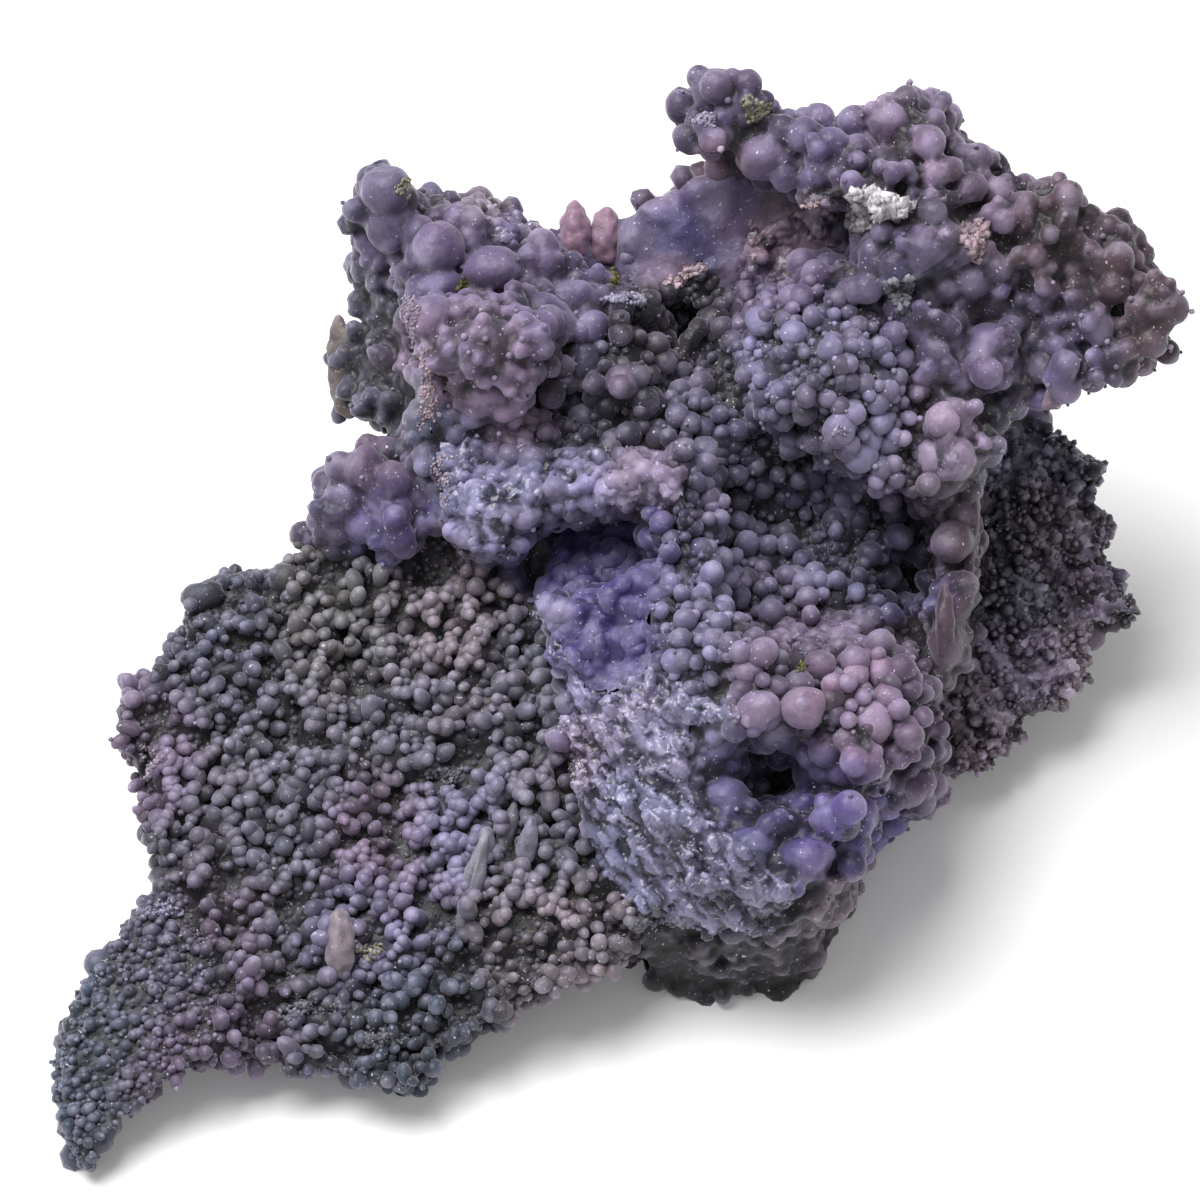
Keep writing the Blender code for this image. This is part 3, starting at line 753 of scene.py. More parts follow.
def stone(name, glow, rough=0.45, sheen=0.45, grain=0.3, bite=0.1, shine=0.35):
    """A frosted stone that takes its colour from stain. Glow is the share of light that goes in, and
    grain and bite are the size and height of the frosting in millimetres."""
    material = bpy.data.materials.new(name)
    material.use_nodes = True
    tree = material.node_tree
    shader = tree.nodes["Principled BSDF"]
    place = add_node(tree, "ShaderNodeTexCoord").outputs["Object"]
    # This colour attribute holds the stains with painted shade and painted highlights laid in.
    stain_and_painted_light = add_node(tree, "ShaderNodeAttribute", attribute_name="stain_and_painted_light").outputs["Color"]
    cloud = add_node(
        tree, "ShaderNodeTexNoise", {"Vector": place, "Scale": 1 / CLOUD_SIZE, "Detail": 4.0}
    ).outputs["Fac"]
    value = add_node(
        tree,
        "ShaderNodeMapRange",
        {"Value": cloud, "From Min": 0.3, "From Max": 0.7, "To Min": 0.72, "To Max": 1.24},
    ).outputs[0]
    body = add_node(tree, "ShaderNodeHueSaturation", {"Value": value, "Color": stain_and_painted_light}).outputs[0]
    # Pale flecks, partly quartz specks and partly painted glints (painted highlights), more of them where
    # the cloud noise is high.
    fleck_and_glint_noise = add_node(
        tree, "ShaderNodeTexNoise", {"Vector": place, "Scale": 1 / FLECK_AND_GLINT_SIZE, "Detail": 1.0}
    ).outputs["Fac"]
    speck_and_glint = add_node(
        tree,
        "ShaderNodeMapRange",
        {"Value": fleck_and_glint_noise, "From Min": 0.68, "From Max": 0.75, "To Min": 0.0, "To Max": FLECK_AND_GLINT_SHARE},
    ).outputs[0]
    drift = add_node(
        tree,
        "ShaderNodeMapRange",
        {"Value": cloud, "From Min": 0.45, "From Max": 0.6, "To Min": 0.15, "To Max": 1.0},
    ).outputs[0]
    flecks_and_glints = add_node(tree, "ShaderNodeMath", {0: speck_and_glint, 1: drift}, operation="MULTIPLY").outputs[0]
    flecked_and_glinting = add_node(
        tree, "ShaderNodeMix", {0: flecks_and_glints, 6: body, 7: (*linear(FLECK_AND_GLINT), 1)}, data_type="RGBA"
    ).outputs[2]
    tree.links.new(flecked_and_glinting, shader.inputs["Base Color"])
    gloss = add_node(
        tree,
        "ShaderNodeMapRange",
        {"Value": cloud, "From Min": 0.3, "From Max": 0.7, "To Min": rough - 0.1, "To Max": rough + 0.1},
    ).outputs[0]
    tree.links.new(gloss, shader.inputs["Roughness"])
    grains = add_node(
        tree, "ShaderNodeTexNoise", {"Vector": place, "Scale": 1 / (grain * MM), "Detail": 3.0}
    ).outputs["Fac"]
    swells = add_node(
        tree, "ShaderNodeTexNoise", {"Vector": place, "Scale": 1 / SWELL_SIZE, "Detail": 1.0}
    ).outputs["Fac"]
    height = add_node(
        tree, "ShaderNodeMath", {0: swells, 1: 2.5, 2: grains}, operation="MULTIPLY_ADD"
    ).outputs[0]
    bump = add_node(
        tree, "ShaderNodeBump", {"Height": height, "Strength": 0.7, "Distance": bite * MM}
    ).outputs[0]
    tree.links.new(bump, shader.inputs["Normal"])
    shader.inputs["Subsurface Weight"].default_value = glow
    shader.inputs["Subsurface Radius"].default_value = (1.0, 0.8, 1.1)
    shader.inputs["Subsurface Scale"].default_value = LIGHT_DEPTH
    shader.inputs["Sheen Weight"].default_value = sheen
    shader.inputs["Sheen Roughness"].default_value = 0.5
    shader.inputs["Sheen Tint"].default_value = (*linear(RIME), 1)
    shader.inputs["Specular IOR Level"].default_value = shine
    shader.inputs["IOR"].default_value = 1.54
    return material


chalcedony = stone("frosted_chalcedony", glow=0.0)
clear_chalcedony = stone("clear_chalcedony", glow=0.5)
drusy_quartz = stone("drusy_quartz", glow=0.15, rough=0.3, sheen=0.1, grain=0.5, shine=0.6)
smoky_quartz = stone("smoky_drusy_quartz", glow=0.0, rough=0.3, sheen=0.1, grain=0.5, bite=0.2, shine=0.5)
host_rock = stone("white_host_rock", glow=0.1, rough=0.8, sheen=0.0, grain=0.5, bite=0.4, shine=0.2)
print("finishes", [material.name for material in bpy.data.materials])

# %% [markdown]
# Grapes repeat, so Geometry Nodes grow them: points are spread over a zone no closer than a spacing, each
# gets a ball of its own size, stretch and lift, and slow noise dents the balls so that none is perfect.
# One group serves every zone, with the sizes as its named inputs.

# %% Grape growth
GROWTH_INPUTS = (
    ("Spacing", "NodeSocketFloat", 3.0 * MM),
    ("Smallest radius", "NodeSocketFloat", 1.0 * MM),
    ("Largest radius", "NodeSocketFloat", 2.0 * MM),
    ("Lowest lift", "NodeSocketFloat", -0.3),
    ("Highest lift", "NodeSocketFloat", 0.6),
    ("Stretch", "NodeSocketFloat", 1.15),
    ("Dent", "NodeSocketFloat", 0.1 * MM),
    ("Lean", "NodeSocketFloat", 0.6),
    ("Full at", "NodeSocketFloat", 0.6),
    ("None at", "NodeSocketFloat", 0.85),
    ("Detail", "NodeSocketInt", 2),
    ("Seed", "NodeSocketInt", 1),
    ("Material", "NodeSocketMaterial", None),
)
# Balls larger than this are made finer.
FINE_ABOVE = 2.4 * MM
# How many points are tried in a square of the spacing, and how close they may come, as a share of it.
TRIES = 1.15
CLOSEST = 0.7
# Above 1, small grapes are more common than large ones.
SMALL_SHARE = 1.6
DENT_SIZE = 1.8 * MM
FULL_TURN = 6.28
# Cavity at which grapes stand as close as they can, and at which none are left: on the clumps, in the
# gaps between them, or everywhere.
ON_CLUMPS = (0.6, 0.85)
IN_GAPS = (0.75, 0.45)
EVERYWHERE = (0.9, 1.5)


def growth_group():
    group = bpy.data.node_groups.new("grow_grapes", "GeometryNodeTree")
    group.interface.new_socket("Geometry", in_out="INPUT", socket_type="NodeSocketGeometry")
    group.interface.new_socket("Geometry", in_out="OUTPUT", socket_type="NodeSocketGeometry")
    for label, kind, value in GROWTH_INPUTS:
        socket = group.interface.new_socket(label, in_out="INPUT", socket_type=kind)
        if value is not None:
            socket.default_value = value
    source = add_node(group, "NodeGroupInput").outputs

    def math_node(operation, first, second):
        return add_node(group, "ShaderNodeMath", {0: first, 1: second}, operation=operation).outputs[0]

    def chance(low, high, offset):
        seed = math_node("ADD", source["Seed"], offset)
        return add_node(group, "FunctionNodeRandomValue", {2: low, 3: high, 8: seed}).outputs[1]

    density = math_node("DIVIDE", TRIES, math_node("MULTIPLY", source["Spacing"], source["Spacing"]))
    cavity = add_node(
        group, "GeometryNodeInputNamedAttribute", {"Name": "cavity"}, data_type="FLOAT"
    ).outputs[0]
    share = add_node(
        group,
        "ShaderNodeMapRange",
        {"Value": cavity, "From Min": source["None at"], "From Max": source["Full at"]},
    ).outputs[0]
    spread = add_node(
        group,
        "GeometryNodeDistributePointsOnFaces",
        {
            "Mesh": source["Geometry"],
            "Distance Min": math_node("MULTIPLY", source["Spacing"], CLOSEST),
            "Density Max": density,
            "Density Factor": share,
            "Seed": source["Seed"],
        },
        distribute_method="POISSON",
    )
    size_chance = math_node("POWER", chance(0.0, 1.0, 1), SMALL_SHARE)
    radius = add_node(
        group,
        "ShaderNodeMapRange",
        {
            "Value": size_chance,
            "To Min": source["Smallest radius"],
            "To Max": source["Largest radius"],
        },
    ).outputs[0]
    tone = chance(0.0, 1.0, 2)
    lift = add_node(
        group,
        "ShaderNodeMapRange",
        {"Value": tone, "To Min": source["Lowest lift"], "To Max": source["Highest lift"]},
    ).outputs[0]
    raised = add_node(
        group,
        "ShaderNodeVectorMath",
        {0: spread.outputs["Normal"], "Scale": math_node("MULTIPLY", radius, lift)},
        operation="SCALE",
    ).outputs[0]
    moved = add_node(
        group, "GeometryNodeSetPosition", {"Geometry": spread.outputs["Points"], "Offset": raised}
    ).outputs[0]

    def stored(geometry, label, value):
        return add_node(
            group,
            "GeometryNodeStoreNamedAttribute",
            {"Geometry": geometry, "Name": label, "Value": value},
            data_type="FLOAT",
            domain="POINT",
        ).outputs[0]

    toned = stored(stored(moved, "tone", tone), "hue", chance(0.0, 1.0, 7))
    # Rise is the height on a ball along its normal; the colours use it for painted shade at the foot and a
    # painted highlight at the tip.
    position = add_node(group, "GeometryNodeInputPosition").outputs[0]
    rise = add_node(group, "ShaderNodeSeparateXYZ", {0: position}).outputs["Z"]
    balls = add_node(group, "GeometryNodeJoinGeometry")
    for extra in (1, 0):
        detail = math_node("ADD", source["Detail"], extra)
        sphere = add_node(
            group, "GeometryNodeMeshIcoSphere", {"Radius": 1.0, "Subdivisions": detail}
        ).outputs[0]
        instance = add_node(
            group, "GeometryNodeGeometryToInstance", {"Geometry": stored(sphere, "rise", rise)}
        ).outputs[0]
        group.links.new(instance, balls.inputs[0])
    is_large = add_node(
        group, "FunctionNodeCompare", {0: radius, 1: FINE_ABOVE}, data_type="FLOAT"
    ).outputs[0]
    reach = math_node("MAXIMUM", chance(1.0, source["Stretch"], 3), math_node("ADD", lift, 0.2))
    long_side = math_node("MULTIPLY", radius, reach)

    def lean_chance(offset):
        return math_node("MULTIPLY", chance(-1.0, 1.0, offset), source["Lean"])

    scale = add_node(
        group, "ShaderNodeCombineXYZ", {"X": radius, "Y": radius, "Z": long_side}
    ).outputs[0]
    tilt = add_node(
        group,
        "ShaderNodeCombineXYZ",
        {"X": lean_chance(4), "Y": lean_chance(5), "Z": chance(0.0, FULL_TURN, 6)},
    ).outputs[0]
    turn = add_node(
        group,
        "FunctionNodeRotateRotation",
        {"Rotation": spread.outputs["Rotation"], "Rotate By": tilt},
        rotation_space="LOCAL",
    ).outputs[0]
    placed = add_node(
        group,
        "GeometryNodeInstanceOnPoints",
        {
            "Points": toned,
            "Instance": balls.outputs[0],
            "Pick Instance": True,
            "Instance Index": is_large,
            "Rotation": turn,
            "Scale": scale,
        },
    ).outputs[0]
    real = add_node(group, "GeometryNodeRealizeInstances", {"Geometry": placed}).outputs[0]
    wave = add_node(
        group, "ShaderNodeTexNoise", {"Vector": position, "Scale": 1 / DENT_SIZE, "Detail": 1.0}
    ).outputs["Fac"]
    centred = math_node("SUBTRACT", wave, 0.5)
    normal = add_node(group, "GeometryNodeInputNormal").outputs[0]
    dent = add_node(
        group,
        "ShaderNodeVectorMath",
        {0: normal, "Scale": math_node("MULTIPLY", centred, math_node("MULTIPLY", source["Dent"], 4.0))},
        operation="SCALE",
    ).outputs[0]
    dented = add_node(group, "GeometryNodeSetPosition", {"Geometry": real, "Offset": dent}).outputs[0]
    painted = add_node(
        group, "GeometryNodeSetMaterial", {"Geometry": dented, "Material": source["Material"]}
    ).outputs[0]
    add_node(group, "NodeGroupOutput", {"Geometry": painted})
    return group


GROW_GRAPES = growth_group()
print("growth group", len(GROW_GRAPES.nodes), "nodes")


def grown(
    mesh, material, seed, spacing, radii, lifts, stretch=1.15, dent=0.12, detail=2, where=ON_CLUMPS
):
    """The grapes that grow on a mesh, as a plain mesh. Lengths are in millimetres."""
    carrier = add_object("growth_carrier", mesh)
    modifier = carrier.modifiers.new("grow", "NODES")
    modifier.node_group = GROW_GRAPES
    values = {
        "Spacing": spacing * MM,
        "Smallest radius": radii[0] * MM,
        "Largest radius": radii[1] * MM,
        "Lowest lift": lifts[0],
        "Highest lift": lifts[1],
        "Stretch": stretch,
        "Dent": dent * MM,
        "Full at": where[0],
        "None at": where[1],
        "Detail": detail,
        "Seed": seed,
        "Material": material,
    }
    for item in GROW_GRAPES.interface.items_tree:
        if item.in_out == "INPUT" and item.name in values:
            modifier[item.identifier] = values[item.name]
    made = result_of(carrier, "grown")
    bpy.data.objects.remove(carrier)
    return made


def faces_of(mesh, keep, name):
    """A copy of the mesh with only the faces marked in keep."""
    bm = bmesh.new()
    bm.from_mesh(mesh)
    bm.faces.ensure_lookup_table()
    gone = [bm.faces[i] for i in np.flatnonzero(~keep)]
    bmesh.ops.delete(bm, geom=gone, context="FACES")
    made = bpy.data.meshes.new(name)
    bm.to_mesh(made)
    bm.free()
    return made


# %% [markdown]
# The grapes of the real cluster are like the ones beside them: fine on the tail, coral-like on the plate,
# large on the blocks. So each zone has its own sizes for the one group. A second, smaller growth fills
# the gaps, and where the real grapes carry small buds, those grow on the grapes themselves.

# %% Grapes by zone
# Zone: spacing, radii, lifts, stretch, detail of the balls, and the spacing and radii of buds on them.
GROWTH = {
    "tail": (1.2, (0.55, 1.3), (-0.3, 0.8), 1.3, 2, (2.6, (0.3, 0.55))),
    "plate": (1.62, (0.85, 1.65), (-0.1, 1.3), 1.6, 2, (7.0, (0.35, 0.6))),
    "hump": (2.8, (1.3, 2.8), (-0.6, 0.2), 1.1, 2, (7.0, (0.35, 0.7))),
    "rear_crust": (2.4, (0.6, 1.6), (-0.5, 0.2), 1.2, 2, None),
    "dusty_lump": (2.6, (1.0, 2.3), (-0.7, 0.1), 1.2, 2, (4.5, (0.35, 0.7))),
    "left_side": (1.9, (1.0, 2.1), (-0.2, 0.7), 1.8, 2, (7.0, (0.35, 0.6))),
    "left_purple": (2.9, (1.2, 3.0), (-0.5, 0.4), 1.3, 2, (7.0, (0.35, 0.7))),
    "left_right": (2.3, (1.2, 2.7), (-0.2, 0.9), 1.2, 2, (7.0, (0.35, 0.7))),
    "lip": (2.9, (1.0, 2.4), (-0.7, 0.2), 1.2, 2, (5.0, (0.35, 0.6))),
    "violet": (6.5, (1.0, 2.0), (-0.8, -0.2), 1.1, 3, None),
    "divide": (1.8, (1.0, 2.2), (-0.1, 1.0), 1.2, 2, (5.0, (0.35, 0.6))),
    "grape_hollow": (2.6, (1.3, 3.0), (-0.3, 0.5), 1.1, 2, (7.0, (0.35, 0.7))),
    "pink_ridge": (2.2, (1.2, 2.7), (-0.2, 0.9), 1.2, 2, (5.5, (0.35, 0.7))),
    "wing": (2.2, (1.2, 2.6), (-0.2, 0.8), 1.2, 2, (7.0, (0.35, 0.7))),
    "cavity": (2.4, (1.2, 2.6), (-0.3, 0.3), 1.2, 2, None),
    "valley": (2.0, (1.2, 2.4), (-0.2, 1.1), 1.2, 2, (6.0, (0.35, 0.6))),
    "right_ridge": (2.6, (1.2, 2.6), (-0.5, 0.2), 1.8, 2, None),
    "lobe": (1.85, (1.1, 2.3), (-0.2, 1.1), 1.2, 2, (4.5, (0.35, 0.7))),
    "arm_recess": (2.4, (1.3, 2.8), (-0.3, 0.6), 1.1, 2, None),
    "slab_lump": (2.6, (0.7, 1.8), (-0.6, 0.1), 1.2, 2, (7.0, (0.5, 0.8))),
    "dark_recess": (2.1, (1.0, 2.4), (-0.3, 0.5), 1.2, 2, None),
    "arm_front": (2.3, (1.2, 2.9), (-0.3, 0.8), 1.2, 2, (6.0, (0.35, 0.7))),
    "arm_end": (2.7, (1.2, 2.8), (-0.6, 0.4), 1.3, 2, (3.5, (0.3, 0.6))),
    "arm_top": (2.4, (1.2, 2.8), (-0.3, 0.8), 1.2, 2, (6.0, (0.35, 0.7))),
    "slab": (9.0, (0.8, 2.0), (-0.8, -0.3), 1.2, 2, None),
    "rear_ridge": (1.5, (0.6, 1.5), (-0.3, 0.5), 1.3, 2, None),
    "dark_plate": (1.45, (0.45, 1.5), (-0.3, 0.8), 1.4, 1, (3.0, (0.3, 0.8))),
    "foot": (2.5, (0.9, 2.2), (-0.5, 0.3), 1.3, 2, None),
    "back": (3.0, (1.3, 2.7), (-0.4, 0.5), 1.2, 1, None),
}
# Fillers: their size and spacing as shares of the zone's own, and what differs for them.
FILLER_SIZE = 0.62
FILLER_SPACING = 0.82
FILLER_SPACING_BY_ZONE = {"plate": 1.05}
FILLER_LIFTS = (-0.5, 0.2)
NOT_FILLED = ("violet", "slab", "slab_lump", "dark_plate", "back", "hump", "arm_top", "left_purple")
GROWTH_SEED = 7
BUD_LIFTS = (0.2, 0.9)

patches = {}
bud_patches = []
for index, name in enumerate(ZONE_NAMES):
    if name not in GROWTH:
        continue
    spacing, radii, lifts, stretch, detail, buds = GROWTH[name]
    surface = faces_of(skin_mesh, zone_of_face == index, "surface")
    seed = GROWTH_SEED + 10 * index
    grapes = grown(surface, chalcedony, seed, spacing, radii, lifts, stretch, 0.12, detail)
    patches[name] = [patch_of(grapes, name)]
    if name not in NOT_FILLED:
        small_radii = [radius * FILLER_SIZE for radius in radii]
        small_spacing = spacing * FILLER_SPACING_BY_ZONE.get(name, FILLER_SPACING)
        filler = grown(
            surface, chalcedony, seed + 3, small_spacing, small_radii, FILLER_LIFTS, 1.3, 0.08, 1, IN_GAPS
        )
        patches[name].append(patch_of(filler, name))
    if buds:
        small = patch_of(
            grown(
                grapes, chalcedony, seed + 5, buds[0], buds[1], BUD_LIFTS, 1.1, 0.06, 1, EVERYWHERE
            ),
            name,
        )
        # Buds sit high, so they get no painted shade at the foot and more of the painted highlight.
        small["rise"] = np.clip(small["rise"] + 1.0, -1.0, 1.0)
        bud_patches.append(small)
    print("grapes", name, sum(len(patch["triangles"]) for patch in patches[name]), "triangles")

# %% [markdown]
# The largest grapes are placed one by one where the stone has them, each sunk a little into the skin.

# %% Large grapes
# Zone: grapes as x, y, radius, how much taller than wide, and hue from 0 (blue) to 1 (rose).
LARGE_GRAPES = {
    "left_purple": (
        (-36, 69.5, 4.2, 1.0, 0.3), (-34, 64.5, 4.8, 1.1, 0.6), (-28, 58.5, 4.4, 1.0, 0.7),
        (-36.5, 59, 3.3, 1.0, 0.2), (-24, 64, 2.7, 1.0, 0.5), (-22.5, 60.5, 2.8, 1.0, 0.5),
        (-27.5, 52.5, 3.7, 1.0, 0.2), (-17.5, 55, 4.6, 0.8, 0.6), (-12.5, 54, 3.1, 1.0, 0.6),
        (-28, 48, 4.2, 1.0, 0.4), (-6.5, 45.5, 3.0, 1.0, 0.7), (-5, 51.5, 4.0, 1.0, 0.6),
        (-9, 49, 4.0, 0.8, 0.6), (-24, 51, 2.0, 1.0, 0.4), (-9, 57.5, 2.6, 1.2, 0.5),
    ),
    "hump": (
        (-34, 21.0, 3.0, 1.0, 0.8), (-41, 22.5, 3.0, 1.0, 0.8), (-36, 15, 3.4, 1.0, 0.1),
        (-43.5, 17.5, 3.0, 1.0, 0.4), (-28, 13, 2.8, 1.0, 0.4), (-40, 12.5, 2.8, 1.0, 0.2),
        (-31, 17, 2.8, 1.0, 0.3), (-47, 14, 2.6, 1.0, 0.7), (-46, 21, 2.4, 1.0, 0.7),
        (-37, 26, 2.2, 1.0, 0.8), (-31, 9.5, 2.4, 1.0, 0.6), (-44, 12, 2.2, 1.0, 0.5),
    ),
    "left_right": (
        (-1.8, 46, 2.8, 1.0, 0.2), (-2.5, 39, 3.1, 1.2, 0.2), (4, 36, 3.4, 0.9, 0.9),
        (4, 39, 1.6, 1.3, 0.9), (-3, 31, 2.7, 1.0, 0.2), (-11.5, 23.5, 2.6, 1.0, 0.9),
        (-12.5, 27.5, 2.0, 1.0, 0.8), (-12, 30.5, 2.2, 1.0, 0.8), (-15, 24.5, 2.7, 1.0, 0.2),
        (7, 31, 2.6, 1.0, 0.2), (2, 27, 2.4, 1.0, 0.3),
    ),
    "pink_ridge": (
        (32.5, -17, 3.6, 1.0, 0.8), (45, -20, 3.5, 1.0, 0.9), (46.5, -12.5, 3.0, 1.0, 0.8),
        (24.5, -11.5, 2.8, 1.0, 0.7), (26.5, -17.5, 3.4, 1.0, 0.4), (50, -20.5, 3.0, 1.0, 0.4),
        (48, -16, 2.5, 1.0, 0.8), (41, -9.5, 2.0, 1.0, 0.9), (51.5, -27.5, 2.6, 1.0, 0.9),
        (52, -32, 4.2, 1.0, 0.9), (48, -34, 3.6, 1.0, 0.8), (44, -6.5, 2.6, 1.0, 0.5),
    ),
    "grape_hollow": (
        (38, -35, 3.6, 1.0, 0.2), (32, -34, 3.3, 1.0, 0.2), (36.5, -29, 2.7, 1.0, 0.1),
        (25, -40, 3.0, 1.0, 0.2), (34, -42, 4.6, 0.7, 0.7), (31, -23, 3.6, 1.0, 0.2),
        (20.5, -23.5, 3.4, 1.0, 0.1), (21, -32.5, 4.0, 1.0, 0.1), (41, -40, 2.6, 1.0, 0.5),
    ),
    "lobe": (
        (31.5, 50.5, 2.6, 1.0, 0.1), (27, 46, 2.7, 1.0, 0.3), (32.5, 44, 2.3, 1.0, 0.2),
        (57, 30.5, 3.0, 1.0, 0.8), (61.5, 28.5, 2.0, 1.0, 0.7), (55, 23.5, 3.0, 1.2, 0.6),
        (39.5, 28, 2.8, 1.0, 0.4), (45, 27, 2.6, 1.0, 0.2), (43, 23, 2.8, 1.0, 0.4),
        (38, 33.5, 1.8, 1.0, 1.0),
    ),
    "arm_front": (
        (60.5, 37, 3.3, 1.0, 0.6), (54.5, 58, 3.5, 1.0, 0.1), (62, 53.5, 3.5, 1.0, 0.1),
        (64.5, 41.5, 4.2, 1.0, 0.4), (55, 45, 3.8, 0.9, 0.9), (58.5, 43, 2.6, 1.0, 0.8),
        (76.5, 34, 2.2, 1.1, 0.9),
    ),
    "arm_top": (
        (18.5, 85.5, 3.9, 1.0, 0.3), (26.5, 85, 3.4, 1.0, 0.4), (19.5, 79, 2.2, 1.0, 0.4),
        (27.5, 74.5, 4.2, 0.9, 0.4), (38, 72.5, 4.6, 0.9, 0.5), (29.5, 70.5, 2.2, 1.0, 0.5),
        (23, 82, 2.6, 1.0, 0.4), (33, 77, 3.2, 1.0, 0.4), (44, 76, 3.4, 1.0, 0.3),
        (46.5, 84.5, 2.2, 1.0, 0.7), (50, 83, 2.8, 1.0, 0.7), (55.5, 84, 1.8, 1.2, 0.6),
        (48, 80.5, 3.3, 1.0, 0.6), (56, 70.5, 2.5, 1.0, 0.9), (58.5, 76, 3.0, 1.0, 0.7),
        (61, 79, 2.8, 1.0, 0.7), (66, 68.5, 3.0, 1.0, 0.8),
    ),
    "right_ridge": (
        (59.5, 22.5, 3.0, 1.2, 0.8), (58, 10, 3.6, 1.0, 0.9), (58.5, 0, 3.0, 1.6, 0.8),
        (60.5, 14, 2.6, 1.4, 0.8), (58, -8, 2.8, 1.5, 0.7),
    ),
}
SINK = 0.35
# Noise that dents a large grape: how fine it is, and its height as a share of the radius.
LARGE_DENT = (0.30, 0.20)


def ball(detail):
    """Points and triangles of a ball of radius 1."""
    bm = bmesh.new()
    bmesh.ops.create_icosphere(bm, subdivisions=detail, radius=1.0)
    points = np.array([vertex.co for vertex in bm.verts])
    triangles = np.array([[vertex.index for vertex in face.verts] for face in bm.faces])
    bm.free()
    return points, triangles


BALLS = {detail: ball(detail) for detail in (2, 3, 4)}


def large_grape(tree, zone, x, y, radius, tall, hue, chance):
    """A patch of one grape at x, y on the surface of the tree."""
    found = surface_at(tree, x, y)
    if found is None:
        return None
    height, normal = found
    ball_points, ball_triangles = BALLS[4 if radius > 3.4 else 3]
    centre = np.array([x, y, height]) - np.array(normal) * radius * SINK
    points = ball_points * np.array([1.0, tall, 1.0]) * radius
    places = points + centre
    dents = np.array([noise.noise(Vector(place) * LARGE_DENT[0]) for place in places])
    places += ball_points * (dents * LARGE_DENT[1] * radius)[:, None]
    # Rise is the height on the ball along the skin's normal, for painted shade at its foot and a painted
    # highlight at its tip.
    rise = ball_points @ np.array(normal)
    return plain_patch(places, ball_triangles, zone, chance.uniform(0.35, 0.85), hue, rise)


skin_tree = tree_of(skin_mesh)
chance = random.Random(GROWTH_SEED)
for name, grapes in LARGE_GRAPES.items():
    made = [large_grape(skin_tree, name, *grape, chance) for grape in grapes]
    patches[name] += [patch for patch in made if patch]
print("large grapes", sum(len(grapes) for grapes in LARGE_GRAPES.values()))

# %% [markdown]
# Every piece rides on the cluster and stands for its one node.

# %% Pieces
def piece(name, patch, material, colours, smooth=True):
    obj = add_object(name, mesh_of(patch, name, material, colours, smooth))
    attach(obj, "root")
    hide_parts(CAD_NODE)
    print("piece", name, len(patch["triangles"]), "triangles")
    return obj

# %% [markdown]
# The drusy faces carry no grapes: they are broken into small flat quartz faces. Each zone gets a finer
# sheet of skin, divided into cells that are tilted planes of random height, long on the diagonal. Flat
# shading keeps the planes and their edges sharp, which a smooth displacement would lose.

# %% Druse
# Zone: width of the planes, stretch along the grain, height, tilt, colour gain, fineness, share of frost
# and painted highlight on the high planes, and the width and height of the domes under them.
DRUSE = {
    "drusy": (1.2, 2.2, 0.60, 0.60, 0.88, 2, 0.22, 5.0, 1.0),
    "lip": (1.3, 1.6, 0.40, 0.40, 1.05, 1, 0.20, 4.4, 1.4),
    "slab_lump": (1.4, 1.5, 0.45, 0.35, 1.05, 1, 0.20, 5.0, 0.6),
    "rear_crust": (1.3, 1.3, 0.45, 0.50, 0.93, 1, 0.25, 4.0, 0.6),
    "dark_plate": (1.4, 1.3, 0.9, 0.60, 1.3, 1, 0.30, 5.0, 0.0),
}
STREAK_WIDTH = 2.6
STREAK_STRETCH = 3.5
STREAK_HEIGHT = 0.9
GRAIN = Vector((0.66, -0.75, 0.0))
PLANE_BEND = (0.9, 0.3)
# Noise is read at multiples of a plane's seed point, so that its slope and its height have no link.
SLOPE_SEED = 7.3
HEIGHT_SEED = 5.1
ROUGH_WIDTH = 0.45
# How far the rim of a sheet is sunk into the skin.
RIM_SINK = 0.4
# Pale colour of the high planes: partly white quartz frost, partly painted highlight.
FROST_AND_HIGHLIGHT = "#cfcadb"


def fine_sheet(zone, cuts):
    """The zone's part of the skin as a finer mesh."""
    surface = faces_of(skin_mesh, zone_of_face == ZONE_NAMES.index(zone), "sheet")
    bm = bmesh.new()
    bm.from_mesh(surface)
    bmesh.ops.subdivide_edges(bm, edges=bm.edges, cuts=cuts, use_grid_fill=True)
    rim = [vertex.index for vertex in bm.verts if vertex.is_boundary]
    made = bpy.data.meshes.new("fine_sheet")
    bm.to_mesh(made)
    bm.free()
    return made, rim


def rim_fade(mesh, rim, steps):
    """1 inside a sheet, falling to 0 at its rim."""
    fade = np.ones(len(mesh.vertices))
    fade[rim] = 0.0
    return blurred(fade, vertex_links(mesh), steps)


def on_grain(place, width, stretch):
    """A place in widths, with the way along the grain made shorter by stretch."""
    spot = Vector(place) / width
    return spot - GRAIN * spot.dot(GRAIN) * (1.0 - 1.0 / stretch)


def plane_height(place, width, stretch, tilt):
    """The height of the tilted plane that a place belongs to, in plane widths."""
    spot = bent(on_grain(place, width, stretch), PLANE_BEND)
    seed_point = Vector(noise.voronoi(spot)[1][0])
    slope = noise.cell_vector(seed_point * SLOPE_SEED) - Vector((0.5, 0.5, 0.5))
    return noise.cell(seed_point * HEIGHT_SEED) - 0.5 + (spot - seed_point).dot(slope) * 4.0 * tilt


